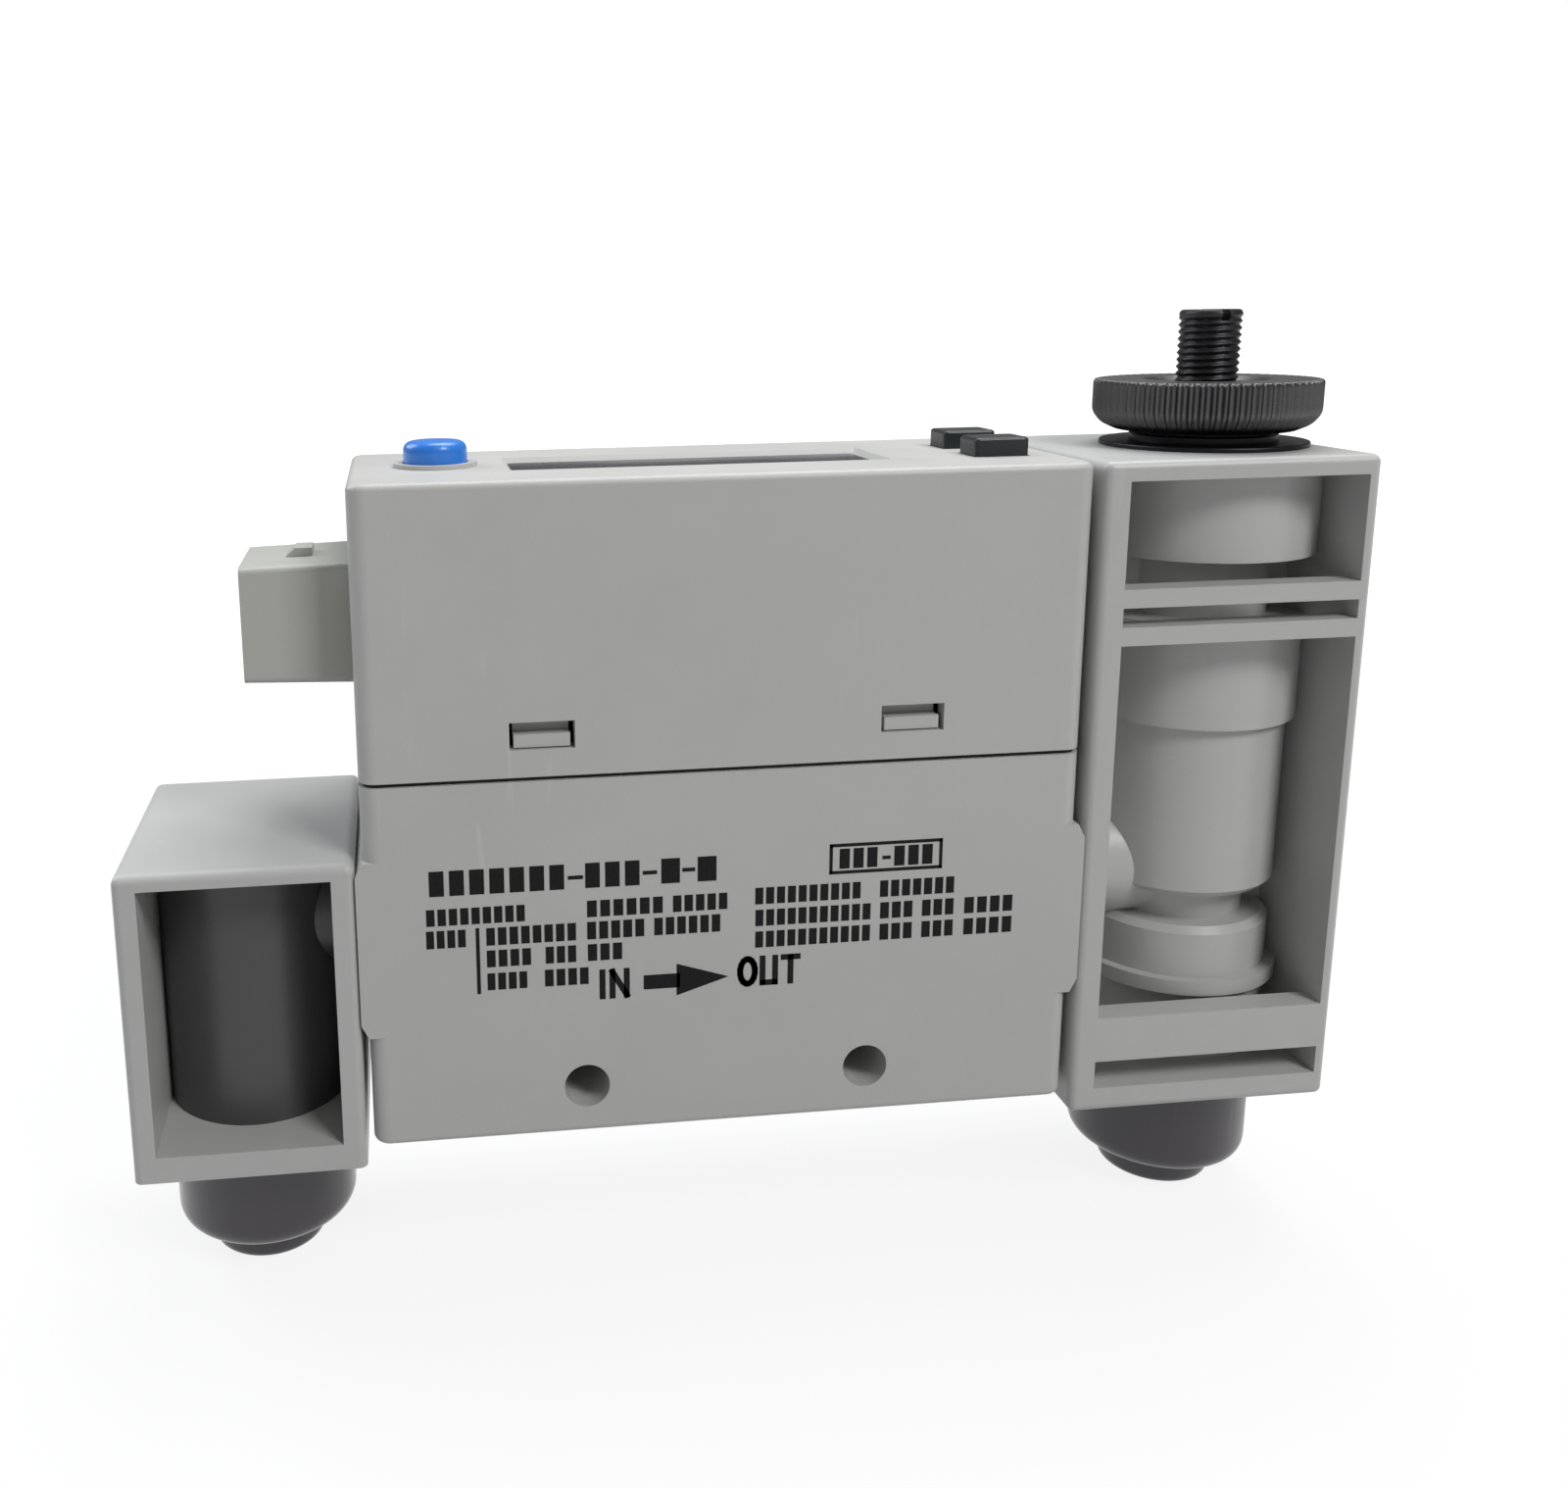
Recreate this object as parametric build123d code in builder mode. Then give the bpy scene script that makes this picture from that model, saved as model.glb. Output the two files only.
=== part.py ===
from build123d import *
import os
from math import radians, tan

os.makedirs("parts", exist_ok=True)

# Digital flow switch with a flow adjusting valve and bottom one-touch ports.
# X runs along the flow from IN (-X) to OUT (+X), -Y is the label face and +Z is the display face.
# The origin is the middle of the footprint, on the surface that the release buttons stand on.

# Case and flow body
body_length = 50.0
body_depth = 20.0
body_height = 46.3
case_height = 20.05
split_gap = 0.3
corner_radius = 1.2
edge_radius = 0.5
case_wall = 1.2
top_wall = 1.6
end_gap = 0.5

# Port modules at the two ends
out_width = 19.8
out_height = 47.8
in_width = 16.0
ear_top = 25.4
ear_height = 12.7
port_drop = 31.75
port_bore = 3.0
module_edge = 0.6

# Snap latches that hold the case on the flow body
latch_pitch = 25.4
latch_window = (4.4, 1.9)
latch_window_lift = 2.05
latch_nub_height = 1.0
latch_side_gap = 0.3
tongue_thickness = 1.0
latch_clearance = 0.1
nub_recess = 0.25

# Mounting holes through the flow body
mount_pitch = 20.0
mount_radius = 1.6
mount_drop = 42.75

# Display window and buttons in the top face
window_length = 25.8
window_depth = 7.4
window_shift = -0.66
window_recess = 0.35
window_chamfer = 0.45
window_thickness = 0.9
button_clearance = 0.08
button_travel = 0.4
button_flange = 0.7
button_flange_thickness = 0.8
set_radius = 2.25
set_height = 1.9
set_edge = 0.7
set_position = -18.9
set_collar = (2.95, 0.3)
arrow_size = (3.9, 3.1)
arrow_height = 1.35
arrow_edge = 0.25
arrow_position = 20.55
arrow_pitch = 5.94

# Electronics
board_end_gap = 1.8
board_side_gap = 0.8
board_thickness = 1.0
board_drop = 6.6
switch_size = (3.4, 2.9)
switch_slack = 0.05
panel_rim = 0.8
sensor_board = (30.0, 12.0, 0.8)
sensor_board_lift = 1.2
sensor_chip = (3.2, 2.6, 1.0)
gasket_radii = (2.2, 4.0)
header_spacing = 2.0

# Connector socket on the left end wall
socket_width = 10.0
socket_height = 8.4
socket_drop = 5.8
socket_reach = 7.5
socket_wall = 1.2
socket_base = 2.0
socket_inset = 2.5
socket_draft = 3.0
socket_fit = 0.1
pin_size = 0.6
pin_pitch = 2.0
pin_count = 4
pin_lift = 1.2
pin_reach = 5.0

# Valve housing at the OUT end
valve_axis = 12.3
valve_left_wall = 1.8
valve_right_wall = 0.9
valve_top_wall = 1.35
valve_bottom_wall = 1.9
web_thickness = 3.0
rib_depth = 2.0
upper_rib = (8.75, 10.05)
lower_rib = (11.4, 12.7)
foot_rib = (40.4, 43.8)
barrel_head = (8.2, 7.6)
barrel_groove = 5.2
barrel_shoulder = (7.7, 12.2, 19.9)
barrel_trunk = (7.1, 33.0)
barrel_neck = (5.1, 35.4)
barrel_disc = (7.0, 39.3)
barrel_flange = (7.8, 40.4)
barrel_foot = 7.0

# Needle valve
bush_radius = 3.6
bush_depth = 9.0
bush_wall_flange = (7.2, 0.35)
bush_core = (5.1, 0.85)
thread_radius = 2.15
thread_pitch = 0.5
thread_clearance = 0.05
stem_radius = 1.5
stem_top = 12.0
stem_bore = 2.6
needle_rise = 9.75
needle_tip = 0.5
slot_size = (0.6, 0.8)
o_ring_drop = 14.0
o_ring_section = 0.55
ring_play = 0.03
seat_radius = 1.6
seat_height = 2.2
seat_rim = 2.6
seat_drop = 33.0
outlet_radius = 2.0
link_bore = 1.2

# Knurled lock nut
nut_radius = 7.8
nut_grip = (2.4, 4.8)
nut_shoulder = (7.2, 1.6)
nut_foot = (6.2, 1.15)
flute_count = 64
flute_radius = 0.3
nut_edge = 0.35
friction_ring_radii = (2.6, 4.6)

# One-touch tube fittings
tube_radius = 3.0
tube_bore = 3.1
guide_radius = 6.67
guide_drop = 8.2
guide_edge = 1.5
guide_bore = 4.3
guide_spigot = 5.85
cavity_radius = 5.9
cavity_depth = 9.0
guide_insert = 5.0
button_proud = 2.3
button_radius = 4.2
button_edge = 1.0
release_flange = (4.9, 1.2)
release_travel = 0.8
release_slack = 0.05
collet_radius = 5.2
collet_height = 0.9
collet_slots = 8
collet_slot_width = 0.5
spacer_height = 0.6
seal_height = 2.0
seal_lip = 0.5

# Spigots and their clips
spigot_radius = 4.5
spigot_length = 5.0
spigot_clearance = 0.1
port_ring_section = 0.5
port_ring_set_back = 1.2
clip_thickness = 0.8
clip_set_back = 2.2
clip_groove = 3.9
clip_width = 1.6
clip_slack = 0.1
elbow_radius = 6.6
in_wall = 1.6
in_top_wall = 1.1
in_top_edge = 0.7

# Flow channel inserts
screen_thickness = 0.6
screen_rim = 0.5
screen_set_back = 7.0
screen_hole = 0.45
orifice_bore = 1.6
orifice_thickness = 1.5

# Places worked out from the sizes above
total_length = in_width + out_width + body_length + 2 * end_gap
in_left = -total_length / 2
in_right = in_left + in_width
body_left = in_right + end_gap
body_right = body_left + body_length
body_middle = (body_left + body_right) / 2
out_left = body_right + end_gap
out_right = out_left + out_width
half_depth = body_depth / 2
port_face = guide_drop + button_proud
top = port_face + out_height
body_bottom = top - body_height
split = top - case_height
case_bottom = split + split_gap / 2
flow_top = split - split_gap / 2
port_height = top - port_drop
valve_x = out_left + valve_axis
elbow_x = (in_left + in_right) / 2
in_top = top - ear_top
board_top = top - board_drop + board_thickness
board_length = body_length - 2 * (case_wall + board_end_gap)
board_depth = body_depth - 2 * (case_wall + board_side_gap)


def block(x0, x1, y0, y1, z0, z1, mode=Mode.ADD):
    """Adds or cuts a block between two corners in the part being built."""
    with Locations(((x0 + x1) / 2, (y0 + y1) / 2, (z0 + z1) / 2)):
        Box(x1 - x0, y1 - y0, z1 - z0, mode=mode)


def drum(x, radius, z0, z1, mode=Mode.ADD):
    """Adds or cuts an upright cylinder on the middle plane."""
    with Locations((x, 0, (z0 + z1) / 2)):
        Cylinder(radius, z1 - z0, mode=mode)


def rod(x0, x1, radius, z, mode=Mode.ADD):
    """Adds or cuts a cylinder that lies along X on the middle plane."""
    with Locations(((x0 + x1) / 2, 0, z)):
        Cylinder(radius, x1 - x0, rotation=(0, 90, 0), mode=mode)


def save(builder, name):
    """Labels the finished piece and writes its STEP file."""
    builder.part.label = name
    export_step(builder.part, f"parts/{name}.step")


window_x = body_middle + window_shift
set_x = body_middle + set_position
arrow_x = body_middle + arrow_position
latch_xs = [body_middle - latch_pitch / 2, body_middle + latch_pitch / 2]
nub_bottom = split + latch_window_lift
socket_top = top - socket_drop
socket_bottom = socket_top - socket_height

# Upper case: a moulded shell, open below, with the display face on top
with BuildPart() as upper_case:
    block(body_left, body_right, -half_depth, half_depth, case_bottom, top)
    fillet(upper_case.edges().filter_by(Axis.Z), corner_radius)
    fillet(upper_case.faces().sort_by(Axis.Z)[-1].edges(), edge_radius)
    inner_x = body_left + case_wall, body_right - case_wall
    inner_y = half_depth - case_wall
    block(*inner_x, -inner_y, inner_y, case_bottom, top - top_wall, Mode.SUBTRACT)
    for latch_x in latch_xs:
        for side in (-1, 1):
            with Locations((latch_x, side * (half_depth - case_wall / 2), nub_bottom + latch_window[1] / 2)):
                Box(latch_window[0], case_wall * 1.5, latch_window[1], mode=Mode.SUBTRACT)
    with BuildSketch(Plane.XY.offset(top)):
        with Locations((window_x, 0)):
            Rectangle(window_length, window_depth)
    extrude(amount=-top_wall, mode=Mode.SUBTRACT)
    rim = upper_case.faces().sort_by(Axis.Z)[-1].inner_wires()[0].edges()
    chamfer(rim, window_chamfer)
    with BuildSketch(Plane.XY.offset(top)):
        with Locations((set_x, 0)):
            Circle(set_collar[0])
    extrude(amount=set_collar[1])
    drum(set_x, set_radius + button_clearance, top - top_wall, top + set_collar[1], Mode.SUBTRACT)
    with BuildSketch(Plane.XY.offset(top)):
        with GridLocations(0, arrow_pitch, 1, 2):
            with Locations((arrow_x, 0)):
                Rectangle(arrow_size[0] + 2 * button_clearance, arrow_size[1] + 2 * button_clearance)
    extrude(amount=-top_wall, mode=Mode.SUBTRACT)
    block(body_left, body_left + case_wall, -socket_width / 2 - socket_fit, socket_width / 2 + socket_fit,
          socket_bottom - socket_fit, socket_top + socket_fit, Mode.SUBTRACT)
save(upper_case, "upper_case")

# Flow body: the lower half, with the flow channel, port ears, mounting holes and snap tongues
tongue_outer = half_depth - case_wall - latch_clearance
tongue_inner = tongue_outer - tongue_thickness
tongue_top = nub_bottom + latch_window[1]
nub_width = latch_window[0] - 2 * latch_side_gap
pocket_floor = flow_top - sensor_board_lift - sensor_board[2]
counterbore = spigot_radius + spigot_clearance
with BuildPart() as lower_body:
    block(body_left, body_right, -half_depth, half_depth, body_bottom, flow_top)
    fillet(lower_body.edges().filter_by(Axis.Z), corner_radius)
    fillet(lower_body.faces().sort_by(Axis.Z)[0].edges(), edge_radius)
    for face_x, outward in ((body_left, -1), (body_right, 1)):
        with BuildSketch(Plane.XZ.offset(-half_depth)):
            with BuildLine():
                Polyline(
                    (face_x - outward * corner_radius, in_top),
                    (face_x, in_top),
                    (face_x + outward * end_gap, in_top - 2 * end_gap),
                    (face_x + outward * end_gap, in_top - ear_height + 2 * end_gap),
                    (face_x, in_top - ear_height),
                    (face_x - outward * corner_radius, in_top - ear_height),
                    close=True,
                )
            make_face()
        extrude(amount=body_depth)
    block(body_middle - sensor_board[0] / 2 - latch_side_gap, body_middle + sensor_board[0] / 2 + latch_side_gap,
          -sensor_board[1] / 2 - latch_side_gap, sensor_board[1] / 2 + latch_side_gap,
          pocket_floor, flow_top, Mode.SUBTRACT)
    rod(body_left - end_gap, body_right + end_gap, port_bore, port_height, Mode.SUBTRACT)
    for face_x, outward in ((body_left, -1), (body_right, 1)):
        seat_end = face_x + outward * end_gap - outward * (spigot_length + spigot_clearance)
        ends = sorted((face_x + outward * end_gap, seat_end))
        rod(*ends, counterbore, port_height, Mode.SUBTRACT)
        clip_x = face_x + outward * end_gap - outward * clip_set_back
        half_clip = clip_thickness / 2 + clip_slack
        half_slot = clip_groove + clip_width + clip_slack
        block(clip_x - half_clip, clip_x + half_clip, -half_slot, half_depth,
              port_height - half_slot, port_height + half_slot, Mode.SUBTRACT)
    drum(body_middle, gasket_radii[0], port_height, pocket_floor, Mode.SUBTRACT)
    with Locations((body_middle, 0, top - mount_drop)):
        with GridLocations(mount_pitch, 1, 2, 1):
            Cylinder(mount_radius, body_depth, rotation=(90, 0, 0), mode=Mode.SUBTRACT)
    for latch_x in latch_xs:
        for side in (-1, 1):
            tongue_y = sorted((side * tongue_inner, side * tongue_outer))
            nub_y = sorted((side * tongue_inner, side * (half_depth - nub_recess)))
            block(latch_x - nub_width / 2, latch_x + nub_width / 2, *tongue_y, flow_top, tongue_top)
            block(latch_x - nub_width / 2, latch_x + nub_width / 2, *nub_y,
                  nub_bottom + latch_clearance, nub_bottom + latch_nub_height)
save(lower_body, "lower_body")

# Case gasket: the black line between the two halves, set in from the outer face
with BuildPart() as case_gasket:
    gasket_inset = split_gap
    block(body_left + gasket_inset, body_right - gasket_inset, gasket_inset - half_depth,
          half_depth - gasket_inset, flow_top, case_bottom)
    fillet(case_gasket.edges().filter_by(Axis.Z), corner_radius - gasket_inset)
    block(*inner_x, -inner_y, inner_y, flow_top, case_bottom, Mode.SUBTRACT)
save(case_gasket, "case_gasket")

# Display window: a dark lens set just below the top face
with BuildPart() as display_window:
    block(window_x - window_length / 2, window_x + window_length / 2, -window_depth / 2, window_depth / 2,
          top - window_recess - window_thickness, top - window_recess)
save(display_window, "display_window")

# Display module under the window, standing on the board
with BuildPart() as display_module:
    block(window_x - window_length / 2 + panel_rim, window_x + window_length / 2 - panel_rim,
          -window_depth / 2 + panel_rim, window_depth / 2 - panel_rim,
          board_top, top - window_recess - window_thickness)
    fillet(display_module.edges().filter_by(Axis.Z), edge_radius)
save(display_module, "display_module")

# Main board with notched corners
with BuildPart() as main_board:
    with BuildSketch(Plane.XY.offset(board_top)):
        with Locations((body_middle, 0)):
            RectangleRounded(board_length, board_depth, corner_radius)
    extrude(amount=-board_thickness)
save(main_board, "main_board")

# Buttons: a cap above the face, a neck through it and a flange that keeps it in
flange_top = top - top_wall
flange_bottom = flange_top - button_flange_thickness
switch_top = flange_bottom - button_travel - switch_slack
with BuildPart() as set_button:
    drum(set_x, set_radius, flange_top, top + set_height)
    fillet(set_button.faces().sort_by(Axis.Z)[-1].edges(), set_edge)
    drum(set_x, set_radius + button_flange, flange_bottom, flange_top)
save(set_button, "set_button")

for name, arrow_y in (("up_button", arrow_pitch / 2), ("down_button", -arrow_pitch / 2)):
    with BuildPart() as arrow_button:
        with BuildSketch(Plane.XY.offset(flange_top)):
            with Locations((arrow_x, arrow_y)):
                Rectangle(*arrow_size)
        extrude(amount=top_wall + arrow_height)
        fillet(arrow_button.faces().sort_by(Axis.Z)[-1].edges(), arrow_edge)
        with BuildSketch(Plane.XY.offset(flange_bottom)):
            with Locations((arrow_x, arrow_y)):
                Rectangle(arrow_size[0] + 2 * button_flange, arrow_size[1] + button_flange)
        extrude(amount=button_flange_thickness)
    save(arrow_button, name)

# Tactile switches: a square body and a round dome that the button presses
switches = (
    ("set_switch", set_x, 0),
    ("up_switch", arrow_x, arrow_pitch / 2),
    ("down_switch", arrow_x, -arrow_pitch / 2),
)
switch_body_top = (board_top + switch_top) / 2
for name, switch_x, switch_y in switches:
    with BuildPart() as tact_switch:
        with BuildSketch(Plane.XY.offset(board_top)):
            with Locations((switch_x, switch_y)):
                Rectangle(*switch_size)
        extrude(amount=switch_body_top - board_top)
        with BuildSketch(Plane.XY.offset(switch_body_top)):
            with Locations((switch_x, switch_y)):
                Circle(switch_size[1] / 3)
        extrude(amount=switch_top - switch_body_top)
    save(tact_switch, name)

# Flow sensor: a board in the flow body's pocket, its chip over the channel and a gasket round the chip
sensor_bottom = pocket_floor + sensor_board_lift / 2
with BuildPart() as sensor_pcb:
    with BuildSketch(Plane.XY.offset(sensor_bottom)):
        with Locations((body_middle, 0)):
            RectangleRounded(sensor_board[0], sensor_board[1], edge_radius)
    extrude(amount=sensor_board[2])
save(sensor_pcb, "sensor_board")

with BuildPart() as flow_sensor_chip:
    block(body_middle - sensor_chip[0] / 2, body_middle + sensor_chip[0] / 2,
          -sensor_chip[1] / 2, sensor_chip[1] / 2, sensor_bottom - sensor_chip[2], sensor_bottom)
save(flow_sensor_chip, "flow_sensor_chip")

with BuildPart() as sensor_gasket:
    drum(body_middle, gasket_radii[1], pocket_floor, sensor_bottom)
    drum(body_middle, gasket_radii[0] + edge_radius, pocket_floor, sensor_bottom, Mode.SUBTRACT)
save(sensor_gasket, "sensor_gasket")

# Board header: four pins that join the sensor board to the main board
with BuildPart() as board_header:
    header_x = body_middle + sensor_board[0] / 2 - header_spacing
    with BuildSketch(Plane.XY.offset(sensor_bottom + sensor_board[2])):
        with Locations((header_x, 0)):
            with GridLocations(0, header_spacing, 1, 4):
                Rectangle(pin_size, pin_size)
    extrude(amount=board_top - board_thickness - sensor_bottom - sensor_board[2])
    block(header_x - header_spacing / 2, header_x + header_spacing / 2, -2 * header_spacing, 2 * header_spacing,
          sensor_bottom + sensor_board[2], sensor_bottom + sensor_board[2] + header_spacing)
save(board_header, "board_header")

# Screens and the measuring orifice in the flow channel
screens = (
    ("inlet_screen", body_left + screen_set_back),
    ("outlet_screen", body_right - screen_set_back - screen_thickness),
)
for name, screen_x in screens:
    with BuildPart() as screen:
        rod(screen_x, screen_x + screen_thickness, port_bore, port_height)
        with BuildSketch(Plane.YZ.offset(screen_x)):
            with Locations((0, port_height)):
                with HexLocations(1.5 * screen_hole, 3, 3):
                    Circle(screen_hole)
        extrude(amount=screen_thickness, mode=Mode.SUBTRACT)
    save(screen, name)

with BuildPart() as measuring_orifice:
    orifice_x = (body_left + body_middle) / 2
    rod(orifice_x, orifice_x + orifice_thickness, port_bore, port_height)
    rod(orifice_x, orifice_x + orifice_thickness, orifice_bore, port_height, Mode.SUBTRACT)
    chamfer(measuring_orifice.faces().sort_by(Axis.X)[0].inner_wires()[0].edges(), edge_radius)
save(measuring_orifice, "measuring_orifice")

# Connector socket: a drafted shroud through the end wall, with a latch bar on top
mouth_x = body_left - socket_reach
socket_back = body_left + socket_inset
taper = socket_reach * tan(radians(socket_draft))
with BuildPart() as connector_socket:
    with BuildSketch(Plane.YZ.offset(body_left)):
        with Locations((0, (socket_top + socket_bottom) / 2)):
            RectangleRounded(socket_width, socket_height, edge_radius)
    with BuildSketch(Plane.YZ.offset(mouth_x)):
        with Locations((0, (socket_top + socket_bottom) / 2)):
            RectangleRounded(socket_width - taper, socket_height - taper, edge_radius)
    loft()
    block(body_left, socket_back, -socket_width / 2, socket_width / 2, socket_bottom, socket_top)
    block(mouth_x, body_left - socket_base + socket_inset, -socket_width / 2 + socket_wall,
          socket_width / 2 - socket_wall, socket_bottom + socket_wall, socket_top - socket_wall, Mode.SUBTRACT)
    with BuildSketch(Plane.XZ.offset(-socket_wall)):
        with BuildLine():
            Polyline(
                (mouth_x + 2 * socket_wall, socket_top - socket_wall / 2),
                (mouth_x + 3 * socket_wall, socket_top + edge_radius),
                (mouth_x + 4 * socket_wall, socket_top + edge_radius),
                (mouth_x + 4 * socket_wall, socket_top - socket_wall / 2),
                close=True,
            )
        make_face()
    extrude(amount=2 * socket_wall)
    pins_z = socket_bottom + socket_wall + pin_lift
    with BuildSketch(Plane.YZ.offset(socket_back)):
        with Locations((0, pins_z)):
            with GridLocations(pin_pitch, 0, pin_count, 1):
                Rectangle(pin_size, pin_size)
    extrude(amount=-socket_reach, mode=Mode.SUBTRACT)
save(connector_socket, "connector_socket")

with BuildPart() as connector_pins:
    with BuildSketch(Plane.YZ.offset(mouth_x + socket_reach - pin_reach)):
        with Locations((0, pins_z)):
            with GridLocations(pin_pitch, 0, pin_count, 1):
                Rectangle(pin_size, pin_size)
    extrude(amount=socket_back - mouth_x - socket_reach + pin_reach)
    chamfer(connector_pins.faces().group_by(Axis.X)[0].edges(), pin_size / 4)
save(connector_pins, "connector_pins")


def ring_groove(x, half_width, floor_radius):
    """Cuts a square groove round a rod that lies along X."""
    rod(x - half_width, x + half_width, counterbore, port_height, Mode.SUBTRACT)
    rod(x - half_width, x + half_width, floor_radius, port_height)


def port_spigot(root_x, outward):
    """Adds the round spigot that plugs into the flow body, with grooves for its O-ring and its clip."""
    tip_x = root_x - outward * spigot_length
    rod(*sorted((root_x, tip_x)), spigot_radius, port_height)
    ring_groove(tip_x + outward * port_ring_set_back, port_ring_section + clip_slack / 2,
                counterbore - 2 * port_ring_section)
    ring_groove(root_x - outward * clip_set_back, clip_thickness / 2 + clip_slack, clip_groove - clip_slack)


def fitting_cavity(axis_x, bore_top):
    """Cuts the stepped hole for a tube fitting: the cartridge's seat and the bore above it."""
    drum(axis_x, cavity_radius, port_face, port_face + cavity_depth, Mode.SUBTRACT)
    drum(axis_x, outlet_radius, port_face, bore_top, Mode.SUBTRACT)


# Valve housing: an open ribbed frame round a turned barrel, cored from the front and from the back
with BuildPart() as out_valve_body:
    block(out_left, out_right, -half_depth, half_depth, port_face, top)
    fillet(out_valve_body.edges(), module_edge)
    for side in (-1, 1):
        pocket_y = sorted((side * half_depth, side * web_thickness / 2))
        block(out_left + valve_left_wall, out_right - valve_right_wall, *pocket_y,
              port_face + valve_bottom_wall, top - valve_top_wall, Mode.SUBTRACT)
    with BuildSketch(Plane.XZ) as barrel_section:
        with BuildLine():
            Polyline(
                (valve_x, top - valve_top_wall),
                (valve_x + barrel_head[0], top - valve_top_wall),
                (valve_x + barrel_head[0], top - barrel_head[1]),
                (valve_x + barrel_groove, top - barrel_head[1]),
                (valve_x + barrel_groove, top - barrel_shoulder[1]),
                (valve_x + barrel_shoulder[0], top - barrel_shoulder[1]),
                (valve_x + barrel_shoulder[0], top - barrel_shoulder[2]),
                (valve_x + barrel_trunk[0], top - barrel_shoulder[2]),
                (valve_x + barrel_trunk[0], top - barrel_trunk[1] + edge_radius),
                (valve_x + barrel_trunk[0] - edge_radius, top - barrel_trunk[1]),
                (valve_x + barrel_neck[0], top - barrel_trunk[1]),
                (valve_x + barrel_neck[0], top - barrel_neck[1]),
                (valve_x + barrel_disc[0] - edge_radius, top - barrel_neck[1]),
                (valve_x + barrel_disc[0], top - barrel_neck[1] - edge_radius),
                (valve_x + barrel_disc[0], top - barrel_disc[1]),
                (valve_x + barrel_flange[0], top - barrel_disc[1]),
                (valve_x + barrel_flange[0], top - barrel_flange[1]),
                (valve_x + barrel_foot, top - barrel_flange[1]),
                (valve_x + barrel_foot, port_face + valve_bottom_wall),
                (valve_x, port_face + valve_bottom_wall),
                close=True,
            )
        make_face()
    revolve(axis=Axis((valve_x, 0, 0), (0, 0, 1)))
    block(out_right, out_right + barrel_head[0], -half_depth, half_depth, port_face, top, Mode.SUBTRACT)
    for rib_top, rib_bottom in (upper_rib, lower_rib, foot_rib):
        for side in (-1, 1):
            rib_y = sorted((side * half_depth, side * (half_depth - rib_depth)))
            block(out_left + valve_left_wall / 2, out_right - valve_right_wall / 2, *rib_y,
                  top - rib_bottom, top - rib_top)
    rod(out_left + valve_left_wall / 2, valve_x, spigot_radius, port_height)
    port_spigot(out_left, 1)
    rod(out_left - spigot_length, out_left + valve_left_wall, port_bore, port_height, Mode.SUBTRACT)
    rod(out_left, valve_x, link_bore, port_height, Mode.SUBTRACT)
    drum(valve_x, bush_radius, top - bush_depth, top, Mode.SUBTRACT)
    drum(valve_x, stem_bore, top - seat_drop, top, Mode.SUBTRACT)
    drum(valve_x, seat_rim, top - seat_drop - seat_height, top - seat_drop, Mode.SUBTRACT)
    fitting_cavity(valve_x, top - seat_drop - seat_height)
save(out_valve_body, "out_valve_body")

# Inlet block: a plain frame whose window shows the dark elbow inside
with BuildPart() as in_port_block:
    block(in_left, in_right, -half_depth, half_depth, port_face, in_top)
    fillet(in_port_block.edges().filter_by(Axis.Z), module_edge)
    front_top = in_port_block.faces().sort_by(Axis.Z)[-1].edges().filter_by(Axis.X)
    fillet(front_top, in_top_edge)
    for side in (-1, 1):
        pocket_y = sorted((side * half_depth, side * web_thickness / 2))
        block(in_left + in_wall, in_right - in_wall, *pocket_y,
              port_face + valve_bottom_wall, in_top - in_top_wall, Mode.SUBTRACT)
    drum(elbow_x, elbow_radius, port_face, in_top - in_top_wall, Mode.SUBTRACT)
    rod(elbow_x, in_right, spigot_radius, port_height, Mode.SUBTRACT)
save(in_port_block, "in_port_block")

# Inlet elbow: turns the flow from the bottom fitting into the flow body
with BuildPart() as in_elbow:
    drum(elbow_x, elbow_radius, port_face, in_top - in_top_wall)
    fillet(in_elbow.faces().sort_by(Axis.Z)[-1].edges(), edge_radius)
    rod(elbow_x, in_right, spigot_radius, port_height)
    port_spigot(in_right, -1)
    rod(elbow_x, in_right + spigot_length, port_bore, port_height, Mode.SUBTRACT)
    fitting_cavity(elbow_x, port_height)
save(in_elbow, "in_elbow")

# O-rings on the spigots and the U clips that lock them, pushed in from the back
for name, root_x, outward in (("in", in_right, -1), ("out", out_left, 1)):
    ring_x = root_x - outward * (spigot_length - port_ring_set_back)
    with BuildPart() as port_o_ring:
        with Locations((ring_x, 0, port_height)):
            Torus(counterbore - port_ring_section, port_ring_section, rotation=(0, 90, 0))
    save(port_o_ring, f"{name}_port_o_ring")
    clip_x = root_x - outward * clip_set_back
    clip_half = clip_groove + clip_width
    clip_end = half_depth - clip_slack
    with BuildPart() as port_clip:
        with BuildSketch(Plane.YZ.offset(clip_x - clip_thickness / 2)):
            with Locations((0, port_height)):
                Rectangle(2 * clip_half, 2 * clip_half)
                Circle(clip_groove, mode=Mode.SUBTRACT)
            with Locations((-clip_half / 2, port_height)):
                Rectangle(clip_half, 2 * clip_groove, mode=Mode.SUBTRACT)
            with Locations(((clip_half + clip_end) / 2, port_height)):
                Rectangle(clip_end - clip_half, 2 * clip_half)
        extrude(amount=clip_thickness)
    save(port_clip, f"{name}_port_clip")

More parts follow.
